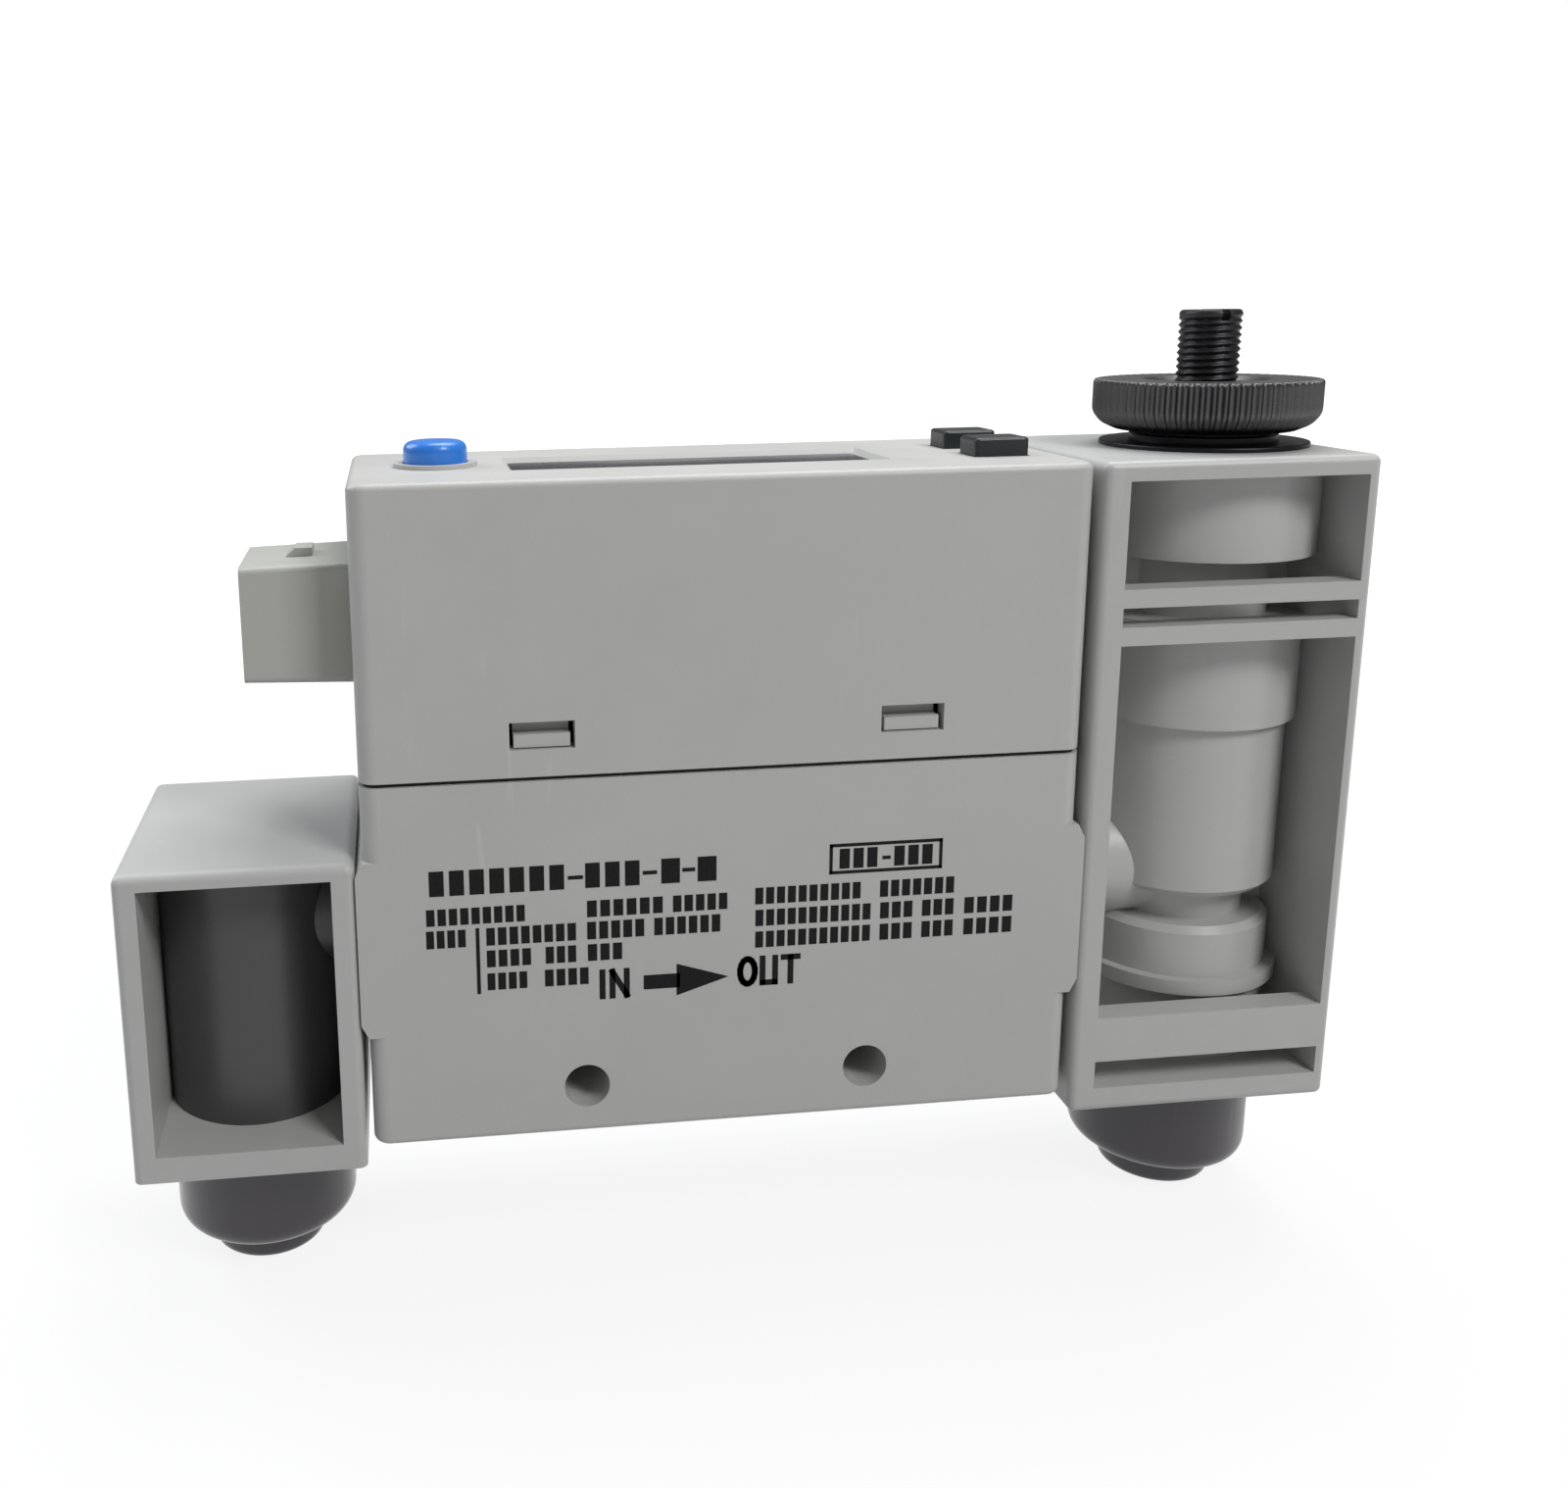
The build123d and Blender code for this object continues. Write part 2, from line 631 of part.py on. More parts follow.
# One-touch fittings, the same at both ends
seal_top = port_face + cavity_depth
seal_bottom = seal_top - seal_height
spacer_bottom = seal_bottom - spacer_height
collet_bottom = spacer_bottom - collet_height
button_top = collet_bottom - release_travel - release_slack
ledge = button_top - release_flange[1]
for name, axis_x in (("in", elbow_x), ("out", valve_x)):
    with BuildPart() as tube_seal:
        drum(axis_x, cavity_radius, seal_bottom, seal_top)
        drum(axis_x, tube_bore, seal_bottom, seal_top, Mode.SUBTRACT)
        chamfer(tube_seal.faces().sort_by(Axis.Z)[0].edges(), seal_lip)
    save(tube_seal, f"{name}_tube_seal")

    with BuildPart() as seal_spacer:
        drum(axis_x, cavity_radius, spacer_bottom, seal_bottom)
        drum(axis_x, tube_bore, spacer_bottom, seal_bottom, Mode.SUBTRACT)
    save(seal_spacer, f"{name}_seal_spacer")

    with BuildPart() as collet:
        drum(axis_x, collet_radius, collet_bottom, spacer_bottom)
        drum(axis_x, tube_bore, collet_bottom, spacer_bottom, Mode.SUBTRACT)
        with BuildSketch(Plane.XY.offset(collet_bottom)):
            with Locations((axis_x, 0)):
                with PolarLocations(tube_bore, collet_slots):
                    Rectangle(2 * (guide_bore - tube_bore), collet_slot_width)
        extrude(amount=collet_height, mode=Mode.SUBTRACT)
    save(collet, f"{name}_collet")

    with BuildPart() as guide_ring:
        drum(axis_x, guide_radius, port_face - guide_drop, port_face)
        fillet(guide_ring.faces().sort_by(Axis.Z)[0].edges(), guide_edge)
        drum(axis_x, guide_spigot, port_face, port_face + guide_insert)
        drum(axis_x, guide_bore, port_face - guide_drop, port_face + guide_insert, Mode.SUBTRACT)
        drum(axis_x, release_flange[0] + guide_bore - button_radius, ledge, port_face + guide_insert,
             Mode.SUBTRACT)
    save(guide_ring, f"{name}_guide_ring")

    with BuildPart() as release_button:
        drum(axis_x, button_radius, 0, button_top)
        fillet(release_button.faces().sort_by(Axis.Z)[0].edges(), button_edge)
        drum(axis_x, release_flange[0], ledge, button_top)
        drum(axis_x, tube_bore, 0, button_top, Mode.SUBTRACT)
    save(release_button, f"{name}_release_button")

# Needle guide: a flanged bush in the top of the valve housing
bush_bore = thread_radius + thread_clearance
with BuildPart() as needle_guide:
    drum(valve_x, bush_radius, top - bush_depth, top)
    drum(valve_x, bush_wall_flange[0], top, top + bush_wall_flange[1])
    drum(valve_x, bush_core[0], top + bush_wall_flange[1], top + bush_core[1])
    drum(valve_x, bush_bore, top - bush_depth, top + bush_core[1], Mode.SUBTRACT)
save(needle_guide, "needle_guide")

# Valve seat under the needle's tip
with BuildPart() as valve_seat:
    drum(valve_x, seat_rim, top - seat_drop - seat_height, top - seat_drop)
    drum(valve_x, seat_radius, top - seat_drop - seat_height, top - seat_drop, Mode.SUBTRACT)
    chamfer(valve_seat.faces().sort_by(Axis.Z)[-1].inner_wires()[0].edges(), edge_radius)
save(valve_seat, "valve_seat")

# Needle: a slotted threaded stud above, a smooth stem with an O-ring groove and a tapered tip below
ring_z = top - o_ring_drop
tip_z = top - seat_drop - seat_height / 2
groove = stem_bore - ring_play - 2 * o_ring_section
with BuildPart() as needle:
    with BuildSketch(Plane.XZ):
        with BuildLine():
            Polyline(
                (valve_x, top + needle_rise),
                (valve_x + thread_radius, top + needle_rise),
                (valve_x + thread_radius, top - stem_top),
                (valve_x + stem_bore - 2 * ring_play, top - stem_top),
                (valve_x + stem_bore - 2 * ring_play, ring_z + o_ring_section),
                (valve_x + groove - ring_play, ring_z + o_ring_section),
                (valve_x + groove - ring_play, ring_z - o_ring_section),
                (valve_x + stem_bore - 2 * ring_play, ring_z - o_ring_section),
                (valve_x + stem_bore - 2 * ring_play, ring_z - 2 * o_ring_section),
                (valve_x + stem_radius, ring_z - 2 * o_ring_section),
                (valve_x + stem_radius, top - seat_drop + needle_tip),
                (valve_x + needle_tip, tip_z),
                (valve_x, tip_z),
                close=True,
            )
        make_face()
    revolve(axis=Axis((valve_x, 0, 0), (0, 0, 1)))
    chamfer(needle.faces().sort_by(Axis.Z)[-1].edges(), arrow_edge)
    with Locations((valve_x, 0, top + needle_rise - slot_size[1] / 2)):
        Box(slot_size[0], 2 * thread_radius, slot_size[1], mode=Mode.SUBTRACT)
save(needle, "needle")

with BuildPart() as needle_o_ring:
    with Locations((valve_x, 0, ring_z)):
        Torus(groove + o_ring_section, o_ring_section)
save(needle_o_ring, "needle_o_ring")

# Lock nut: fluted grip, coned foot and threaded bore
with BuildPart() as lock_nut:
    with BuildSketch(Plane.XZ):
        with BuildLine():
            Polyline(
                (valve_x + bush_bore, top + nut_foot[1]),
                (valve_x + nut_foot[0], top + nut_foot[1]),
                (valve_x + nut_shoulder[0], top + nut_shoulder[1]),
                (valve_x + nut_radius, top + nut_grip[0]),
                (valve_x + nut_radius, top + nut_grip[1] - nut_edge),
                (valve_x + nut_radius - nut_edge, top + nut_grip[1]),
                (valve_x + bush_bore + nut_edge, top + nut_grip[1]),
                (valve_x + bush_bore, top + nut_grip[1] - nut_edge),
                close=True,
            )
        make_face()
    revolve(axis=Axis((valve_x, 0, 0), (0, 0, 1)))
    with BuildSketch(Plane.XY.offset(top + nut_foot[1])):
        with Locations((valve_x, 0)):
            with PolarLocations(nut_radius + flute_radius / 2, flute_count):
                RegularPolygon(flute_radius, 4)
    extrude(amount=nut_grip[1] - nut_foot[1], mode=Mode.SUBTRACT)
save(lock_nut, "lock_nut")

# Friction ring under the nut, which lifts off with it
with BuildPart() as friction_ring:
    drum(valve_x, friction_ring_radii[1], top + bush_core[1], top + nut_foot[1])
    drum(valve_x, friction_ring_radii[0], top + bush_core[1], top + nut_foot[1], Mode.SUBTRACT)
save(friction_ring, "nut_friction_ring")
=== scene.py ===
"""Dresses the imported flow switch: turned and knurled metal, keys, tube fittings, print, finishes and studio."""

import math

import bmesh
import bpy
import numpy as np
from mathutils import Matrix, Vector


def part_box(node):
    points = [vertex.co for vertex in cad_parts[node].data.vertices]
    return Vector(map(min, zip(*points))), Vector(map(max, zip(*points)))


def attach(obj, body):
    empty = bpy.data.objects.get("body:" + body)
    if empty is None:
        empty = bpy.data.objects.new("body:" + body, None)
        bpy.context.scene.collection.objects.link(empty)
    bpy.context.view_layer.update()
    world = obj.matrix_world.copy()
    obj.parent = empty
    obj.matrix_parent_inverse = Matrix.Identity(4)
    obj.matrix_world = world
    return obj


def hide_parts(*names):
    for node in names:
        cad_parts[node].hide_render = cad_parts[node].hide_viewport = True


bl_info = {
    "name": "Flow switch dressing",
    "version": (1, 0, 0),
    "blender": (4, 5, 0),
    "location": "View3D > Sidebar > Flow switch",
    "description": "Builds the detailed pieces, finishes and studio of a digital flow switch",
    "category": "Object",
}

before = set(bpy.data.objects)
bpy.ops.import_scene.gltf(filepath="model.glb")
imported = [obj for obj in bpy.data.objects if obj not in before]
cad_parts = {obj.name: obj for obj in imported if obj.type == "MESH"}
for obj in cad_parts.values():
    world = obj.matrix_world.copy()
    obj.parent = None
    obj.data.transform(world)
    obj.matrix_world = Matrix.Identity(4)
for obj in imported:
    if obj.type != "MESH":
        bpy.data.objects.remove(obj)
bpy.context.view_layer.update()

MM = 0.001
TAU = 2 * math.pi

BODY_LOW = Vector(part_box("lower_body")[0])
VALVE_LOW, VALVE_HIGH = (Vector(v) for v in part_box("out_valve_body"))
NUT_LOW, NUT_HIGH = (Vector(v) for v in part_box("lock_nut"))
NEEDLE_LOW, NEEDLE_HIGH = (Vector(v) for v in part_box("needle"))
GUIDE_LOW, GUIDE_HIGH = (Vector(v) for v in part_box("needle_guide"))
TOP = VALVE_HIGH.z
FRONT = BODY_LOW.y
AXIS = ((NUT_LOW.x + NUT_HIGH.x) / 2, 0.0)

# Needle and bush: radii, heights, and drops below the valve housing's top
STUD_RADIUS = 2.15 * MM
BUSH_BORE = 2.2 * MM
BUSH_RADIUS = 3.6 * MM
BUSH_CORE = 5.1 * MM
# Height of the thin black disc round the bush on the housing's top: painted shade under the lock nut
SHADE_DISC_HEIGHT = 0.35 * MM
STEM_RADIUS = 1.5 * MM
TIP_RADIUS = 0.5 * MM
COLLAR_RADIUS = 2.54 * MM
GROOVE_RADIUS = 1.44 * MM
GROOVE_HALF = 0.55 * MM
STUD_END_DROP = 12.0 * MM
RING_DROP = 14.0 * MM
TAPER_DROP = 32.5 * MM
SLOT_WIDTH, SLOT_DEPTH = 0.6 * MM, 0.8 * MM

# Rounded end of the stud: radius lost and drop below the end. The thread starts a run-in above the stud's
# lower end, fades out over its last stretch and stops short of the rounded end.
STUD_ROUND = [(0.0, 0.3 * MM), (0.12 * MM, 0.06 * MM), (0.25 * MM, 0.0)]
STUD_TOP_DROP = 0.35 * MM
THREAD_RUN_IN = 0.3 * MM
THREAD_STOP = 0.32 * MM
THREAD_FADE = 0.4 * MM
THREAD_POINTS = 12

# Lock nut: radii from the foot to the recess round the bore, and rises above its lower face
NUT_FOOT = 6.2 * MM
NUT_SHOULDER = 7.2 * MM
NUT_SHOULDER_RISE = 0.45 * MM
NUT_GRIP_RISE = 1.25 * MM
NUT_FLUTES_START, NUT_FLUTES_FULL = 6.4 * MM, 7.4 * MM
FLUTE_POINTS = 12
NUT_RECESS_EDGE = 4.4 * MM
NUT_RECESS_FLOOR = 3.9 * MM
NUT_RECESS_DEPTH = 0.35 * MM
NUT_CHAMFER, NUT_CHAMFER_DEPTH = 0.3 * MM, 0.25 * MM

# Tube fittings: radii, and the ledge that the release button's flange moves over
TUBE_BORE = 3.1 * MM
TUBE_LEAD_IN, TUBE_LEAD_IN_HEIGHT = 3.5 * MM, 0.5 * MM
BUTTON_RADIUS = 4.2 * MM
GUIDE_BORE = 4.3 * MM
GUIDE_RECESS = 5.0 * MM
GUIDE_SPIGOT = 5.85 * MM
LEDGE_DROP = 1.55 * MM

# Keys
KEY_FLANGE = 0.8 * MM
SET_CAP_RADIUS = 2.25 * MM
SET_CAP_DOME = 0.12 * MM
ARROW_CAP = Vector((1.95 * MM, 1.55 * MM, 0.0))

# Distances from the object's middle between which the floor's shadow fades to plain white, in metres
SHADOW_REACH = (0.09, 0.22)

# Studio, in metres: half the floor's side, the white of the floor and the sky to the camera, and the lamps
# with their direction and distance from the aim, their side, the setting of their power and their colour
FLOOR_HALF = 1.5
FLOOR_GLOW = 1.2
SKY_SEEN = 1.05
LAMP_AIM = Vector((0.0, 0.0, 0.030))
LAMPS = [
    ("key_lamp", Vector((0.50, -0.75, 0.85)), 0.55, 0.16, "key", (1.0, 1.0, 1.0)),
    ("top_lamp", Vector((0.20, 0.30, 1.0)), 0.60, 0.40, "top", (1.0, 1.0, 1.0)),
    ("side_lamp", Vector((-0.90, 0.55, 0.75)), 0.60, 0.35, "side", (0.90, 0.94, 1.0)),
]

# The camera, solved from the case's corners in the photograph
CAMERA_AT = Vector((-0.02358, -0.10335, 0.06943))
CAMERA_AHEAD = Vector((0.0999, 0.9739, -0.2037))
CAMERA_UP = Vector((0.0391, 0.2008, 0.9789))
CAMERA_SHIFT = (0.150, -0.0869)
SENSOR_WIDTH = 36.0


# Surfaces


def rounded(corners, steps=6):
    """Profile through (radius, height, rounding) corners, in metres: each corner with a rounding is replaced
    by the quadratic curve that leaves and joins its two sides at that distance."""
    points = np.array([c[:2] for c in corners], float)
    out = []
    for i, corner in enumerate(corners):
        cut = corner[2] if len(corner) > 2 else 0
        if not cut:
            out.append(points[i][None])
            continue
        back = points[i - 1] - points[i]
        ahead = points[(i + 1) % len(points)] - points[i]
        start = points[i] + back * cut / np.linalg.norm(back)
        end = points[i] + ahead * cut / np.linalg.norm(ahead)
        t = np.linspace(0, 1, steps + 1)[:, None]
        out.append((1 - t) ** 2 * start + 2 * t * (1 - t) * points[i] + t**2 * end)
    return np.concatenate(out)


def densify(profile, step, closed=True):
    """The same profile with points no further apart than step along each side."""
    ends = np.roll(profile, -1, axis=0) if closed else profile[1:]
    starts = profile if closed else profile[:-1]
    parts = []
    for a, b in zip(starts, ends):
        n = max(1, int(math.ceil(np.linalg.norm(b - a) / step)))
        parts.append(a + (b - a) * (np.arange(n) / n)[:, None])
    if not closed:
        parts.append(profile[-1:])
    return np.concatenate(parts)


def grid_quads(rows, columns, wrap_rows, wrap_columns):
    """Quads of a grid whose vertex (i, j) is number i * columns + j."""
    i = np.arange(rows if wrap_rows else rows - 1)[:, None]
    j = np.arange(columns if wrap_columns else columns - 1)[None, :]
    i1, j1 = (i + 1) % rows, (j + 1) % columns
    row, next_row = i * columns, i1 * columns
    return np.stack(np.broadcast_arrays(row + j, row + j1, next_row + j1, next_row + j), -1).reshape(-1, 4)


def mesh_object(name, points, faces, smooth=True, sharp=35):
    """A mesh object at the origin from an array of points and an array of quads, doubles and poles merged."""
    mesh = bpy.data.meshes.new(name)
    mesh.from_pydata(np.asarray(points).reshape(-1, 3), [], np.asarray(faces))
    mesh.validate(verbose=False)
    work = bmesh.new()
    work.from_mesh(mesh)
    bmesh.ops.remove_doubles(work, verts=work.verts, dist=1e-7)
    bmesh.ops.dissolve_degenerate(work, edges=work.edges, dist=1e-8)
    bmesh.ops.recalc_face_normals(work, faces=work.faces)
    work.to_mesh(mesh)
    work.free()
    if smooth:
        mesh.shade_smooth()
        mesh.set_sharp_from_angle(angle=math.radians(sharp))
    obj = bpy.data.objects.new(name, mesh)
    bpy.context.scene.collection.objects.link(obj)
    return obj


def revolved(name, profile, axis_xy, segments=128, shape=None, sharp=35):
    """Surface of revolution about the upright line through axis_xy: the point (r, z) of a closed profile at
    angle a stands at (x + r cos a, y + r sin a, z). shape(r, z, a) may give another radius and height."""
    a = np.arange(segments) / segments * TAU
    r = np.broadcast_to(profile[:, 0][:, None], (len(profile), segments))
    z = np.broadcast_to(profile[:, 1][:, None], (len(profile), segments))
    turn = np.broadcast_to(a[None, :], r.shape)
    if shape is not None:
        r, z = shape(r, z, turn)
    points = np.stack([axis_xy[0] + r * np.cos(turn), axis_xy[1] + r * np.sin(turn), z], -1)
    return mesh_object(name, points, grid_quads(len(profile), segments, True, True), sharp=sharp)


def superellipse_block(name, low, high, power, crown, edge, rows=28, columns=96):
    """Rounded block between two corners: each level is the superellipse |x/a|^p + |y/b|^p = 1, drawn in
    towards the top by a quarter circle of radius edge, and the top is raised by crown in the middle."""
    centre = (np.array(low) + np.array(high)) / 2
    half = (np.array(high) - np.array(low)) / 2
    a = np.arange(columns) / columns * TAU
    cx = np.sign(np.cos(a)) * np.abs(np.cos(a)) ** (2 / power)
    cy = np.sign(np.sin(a)) * np.abs(np.sin(a)) ** (2 / power)
    arc = np.linspace(0, math.pi / 2, 8)
    top = high[2] - crown
    inward = np.linspace(edge, half[1], rows - 11)[1:]
    inset = np.concatenate([[half[1]], [0, 0], edge * (1 - np.cos(arc)), inward])
    base = np.concatenate([[low[2]], [low[2], top - edge], top - edge + edge * np.sin(arc)])
    flat = np.full(len(inset) - len(base), top)
    height = np.concatenate([base, flat])
    share = np.clip((inset - edge) / max(half[1] - edge, 1e-9), 0, 1)
    share[: len(base)] = 0
    height = height + crown * np.sin(share * math.pi / 2)
    ax, ay = half[0] - inset, half[1] - inset
    ax[0], ax[-1] = half[0] - half[1], half[0] - half[1]
    points = np.stack(
        [
            centre[0] + ax[:, None] * cx[None, :],
            centre[1] + ay[:, None] * cy[None, :],
            np.broadcast_to(height[:, None], (len(inset), columns)),
        ],
        -1,
    )
    return mesh_object(name, points, grid_quads(len(inset), columns, False, True), sharp=40)


# Shader building


def add(tree, kind, **values):
    """A node whose plain attributes and input sockets are set by name."""
    made = tree.nodes.new(kind)
    for key, value in values.items():
        if hasattr(made, key):
            setattr(made, key, value)
        else:
            made.inputs[key.replace("_", " ")].default_value = value
    return made


def maths(tree, operation, a, b=None, c=None, clamp=False):
    """A Math node on sockets or numbers, and its output."""
    made = tree.nodes.new("ShaderNodeMath")
    made.operation = operation
    made.use_clamp = clamp
    for i, value in enumerate((a, b, c)):
        if value is None:
            continue
        if isinstance(value, (int, float)):
            made.inputs[i].default_value = value
        else:
            tree.links.new(value, made.inputs[i])
    return made.outputs[0]


def blend_colour(tree, factor, a, b, mode="MIX"):
    """A colour Mix node, and its output."""
    made = tree.nodes.new("ShaderNodeMix")
    made.data_type = "RGBA"
    made.blend_type = mode
    for socket, value in ((made.inputs[0], factor), (made.inputs[6], a), (made.inputs[7], b)):
        if isinstance(value, (int, float, tuple, list)):
            socket.default_value = value
        else:
            tree.links.new(value, socket)
    return made.outputs[2]


def noise(tree, vector, scale, detail=3.0, roughness=0.5):
    """A Noise Texture's factor output at a scale per metre."""
    made = tree.nodes.new("ShaderNodeTexNoise")
    made.inputs["Scale"].default_value = scale
    made.inputs["Detail"].default_value = detail
    made.inputs["Roughness"].default_value = roughness
    tree.links.new(vector, made.inputs["Vector"])
    return made.outputs[0]


def new_group(name, inputs, outputs):
    """A shader node group with named sockets: (name, type, default) in and (name, type) out."""
    tree = bpy.data.node_groups.new(name, "ShaderNodeTree")
    for label, kind, default in inputs:
        socket = tree.interface.new_socket(name=label, in_out="INPUT", socket_type=kind)
        if default is not None:
            socket.default_value = default
    for label, kind in outputs:
        tree.interface.new_socket(name=label, in_out="OUTPUT", socket_type=kind)
    return tree, tree.nodes.new("NodeGroupInput").outputs, tree.nodes.new("NodeGroupOutput").inputs


def moulded_grain():
    """Spark-eroded mould texture: fine pits as height, and slow drifts of tone from 0.92 to 1.08 and of roughness
    from -0.15 to 0.15, as the noise goes from 0 to 1."""
    tree, got, give = new_group(
        "Moulded grain",
        [
            ("Vector", "NodeSocketVector", None),
            ("Pit scale", "NodeSocketFloat", 5200.0),
            ("Drift scale", "NodeSocketFloat", 60.0),
        ],
        [("Height", "NodeSocketFloat"), ("Tone", "NodeSocketFloat"), ("Rough", "NodeSocketFloat")],
    )
    pits = add(tree, "ShaderNodeTexNoise", Detail=2.0, Roughness=0.55)
    tree.links.new(got["Vector"], pits.inputs["Vector"])
    tree.links.new(got["Pit scale"], pits.inputs["Scale"])
    drift = add(tree, "ShaderNodeTexNoise", Detail=4.0, Roughness=0.6)
    tree.links.new(got["Vector"], drift.inputs["Vector"])
    tree.links.new(got["Drift scale"], drift.inputs["Scale"])
    tree.links.new(pits.outputs[0], give["Height"])
    tree.links.new(maths(tree, "MULTIPLY_ADD", drift.outputs[0], 0.16, 0.92), give["Tone"])
    tree.links.new(maths(tree, "MULTIPLY_ADD", drift.outputs[0], 0.3, -0.15), give["Rough"])
    return tree


def handling_marks():
    """Light scuffs and finger smears: stretched noise above 0.66 as thin strokes, where a patchy noise is above
    0.52, and a broad film of noise about its middle."""
    tree, got, give = new_group(
        "Handling marks",
        [("Vector", "NodeSocketVector", None), ("Amount", "NodeSocketFloat", 0.5)],
        [("Scuff", "NodeSocketFloat"), ("Film", "NodeSocketFloat")],
    )
    stretch = add(tree, "ShaderNodeMapping")
    stretch.inputs["Rotation"].default_value = (0.3, 0.9, 0.4)
    stretch.inputs["Scale"].default_value = (1.0, 1.0, 0.12)
    tree.links.new(got["Vector"], stretch.inputs["Vector"])
    strokes = noise(tree, stretch.outputs[0], 900.0, 2.0)
    cut = maths(tree, "MULTIPLY", maths(tree, "SUBTRACT", strokes, 0.66), 9.0, clamp=True)
    patches = noise(tree, got["Vector"], 75.0, 3.0)
    where = maths(tree, "MULTIPLY", maths(tree, "SUBTRACT", patches, 0.52), 6.0, clamp=True)
    scuff = maths(tree, "MULTIPLY", maths(tree, "MULTIPLY", cut, where), got["Amount"])
    smears = maths(tree, "SUBTRACT", noise(tree, got["Vector"], 38.0, 5.0), 0.5)
    film = maths(tree, "MULTIPLY", smears, got["Amount"])
    tree.links.new(scuff, give["Scuff"])
    tree.links.new(film, give["Film"])
    return tree


def turned_rings():
    """Lathe marks: ridges of 1-D noise along the sum of the distance from an upright axis and the height, with a
    tone from 0.83 to 1.18."""
    tree, got, give = new_group(
        "Turned rings",
        [
            ("Vector", "NodeSocketVector", None),
            ("Axis", "NodeSocketVector", None),
            ("Scale", "NodeSocketFloat", 9000.0),
        ],
        [("Height", "NodeSocketFloat"), ("Tone", "NodeSocketFloat")],
    )
    offset = add(tree, "ShaderNodeVectorMath", operation="SUBTRACT")
    tree.links.new(got["Vector"], offset.inputs[0])
    tree.links.new(got["Axis"], offset.inputs[1])
    parts = add(tree, "ShaderNodeSeparateXYZ")
    tree.links.new(offset.outputs[0], parts.inputs[0])
    xx = maths(tree, "MULTIPLY", parts.outputs[0], parts.outputs[0])
    yy = maths(tree, "MULTIPLY", parts.outputs[1], parts.outputs[1])
    radius = maths(tree, "SQRT", maths(tree, "ADD", xx, yy))
    line = maths(tree, "MULTIPLY", maths(tree, "ADD", radius, parts.outputs[2]), got["Scale"])
    ridges = add(tree, "ShaderNodeTexNoise", noise_dimensions="1D", Scale=1.0, Detail=3.0)
    tree.links.new(line, ridges.inputs["W"])
    tree.links.new(ridges.outputs[0], give["Height"])
    tree.links.new(maths(tree, "MULTIPLY_ADD", ridges.outputs[0], 0.35, 0.83), give["Tone"])
    return tree


def use_group(tree, name, vector, **values):
    """An instance of a shader node group fed with a vector, and its outputs."""
    made = tree.nodes.new("ShaderNodeGroup")
    made.node_tree = bpy.data.node_groups[name]
    tree.links.new(vector, made.inputs["Vector"])
    for key, value in values.items():
        made.inputs[key.replace("_", " ")].default_value = value
    return made.outputs


def start_material(name, **values):
    """A new material with its tree, its Principled BSDF and its Object coordinates."""
    material = bpy.data.materials.new(name)
    material.use_nodes = True
    tree = material.node_tree
    shader = tree.nodes["Principled BSDF"]
    for key, value in values.items():
        shader.inputs[key.replace("_", " ")].default_value = value
    where = tree.nodes.new("ShaderNodeTexCoord").outputs["Object"]
    return material, tree, shader, where


def bump(tree, shader, height, distance, strength=1.0):
    """A Bump node that feeds the shader's normal with height times distance, in metres."""
    made = tree.nodes.new("ShaderNodeBump")
    made.inputs["Strength"].default_value = strength
    made.inputs["Distance"].default_value = distance
    tree.links.new(height, made.inputs["Height"])
    tree.links.new(made.outputs[0], shader.inputs["Normal"])


def moulded_plastic(name, colour, roughness, pit=0.00001, pit_scale=5200.0, marks=0.5, coat=0.0, specular=0.5):
    """Injection-moulded plastic with grain, slow tone drift and lighter handling marks."""
    material, tree, shader, where = start_material(name, Coat_Weight=coat, Specular_IOR_Level=specular)
    grain = use_group(tree, "Moulded grain", where, Pit_scale=pit_scale)
    wear = use_group(tree, "Handling marks", where, Amount=marks)
    toned = blend_colour(tree, 1.0, (*colour, 1), (1, 1, 1, 1), "MULTIPLY")
    tree.links.new(grain["Tone"], toned.node.inputs[7])
    lighter = tuple(min(1.0, c * 1.35 + 0.03) for c in colour)
    scuffed = blend_colour(tree, wear["Scuff"], toned, (*lighter, 1))
    tree.links.new(scuffed, shader.inputs["Base Color"])
    rough = maths(tree, "ADD", maths(tree, "ADD", roughness, grain["Rough"]), wear["Film"], clamp=True)
    tree.links.new(rough, shader.inputs["Roughness"])
    bump(tree, shader, grain["Height"], pit)
    return material


def turned_metal(name, colour, roughness, axis_xy, ring=0.000012, scale=9000.0, marks=0.5):
    """Turned metal with lathe rings round an upright axis and lighter handling marks."""
    material, tree, shader, where = start_material(name, Metallic=1.0)
    rings = use_group(tree, "Turned rings", where, Axis=(*axis_xy, 0.0), Scale=scale)
    wear = use_group(tree, "Handling marks", where, Amount=marks)
    toned = blend_colour(tree, 1.0, (*colour, 1), (1, 1, 1, 1), "MULTIPLY")
    tree.links.new(rings["Tone"], toned.node.inputs[7])
    lighter = tuple(min(1.0, c * 1.5 + 0.05) for c in colour)
    tree.links.new(blend_colour(tree, wear["Scuff"], toned, (*lighter, 1)), shader.inputs["Base Color"])
    tree.links.new(maths(tree, "ADD", wear["Film"], roughness, clamp=True), shader.inputs["Roughness"])
    bump(tree, shader, rings["Height"], ring)
    return material


def finish_node(name, material):
    """Puts a finish on a CAD node that stays in view."""
    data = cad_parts[name].data
    data.materials.clear()
    data.materials.append(material)


def finish_piece(obj, material, body, slot, *nodes):
    """Gives a new piece its finish and its body, and hides the CAD nodes it stands for; the record slot is not
    used.
    """
    obj.data.materials.clear()
    obj.data.materials.append(material)
    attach(obj, body)
    if nodes:
        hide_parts(*nodes)
    return obj


# Settings


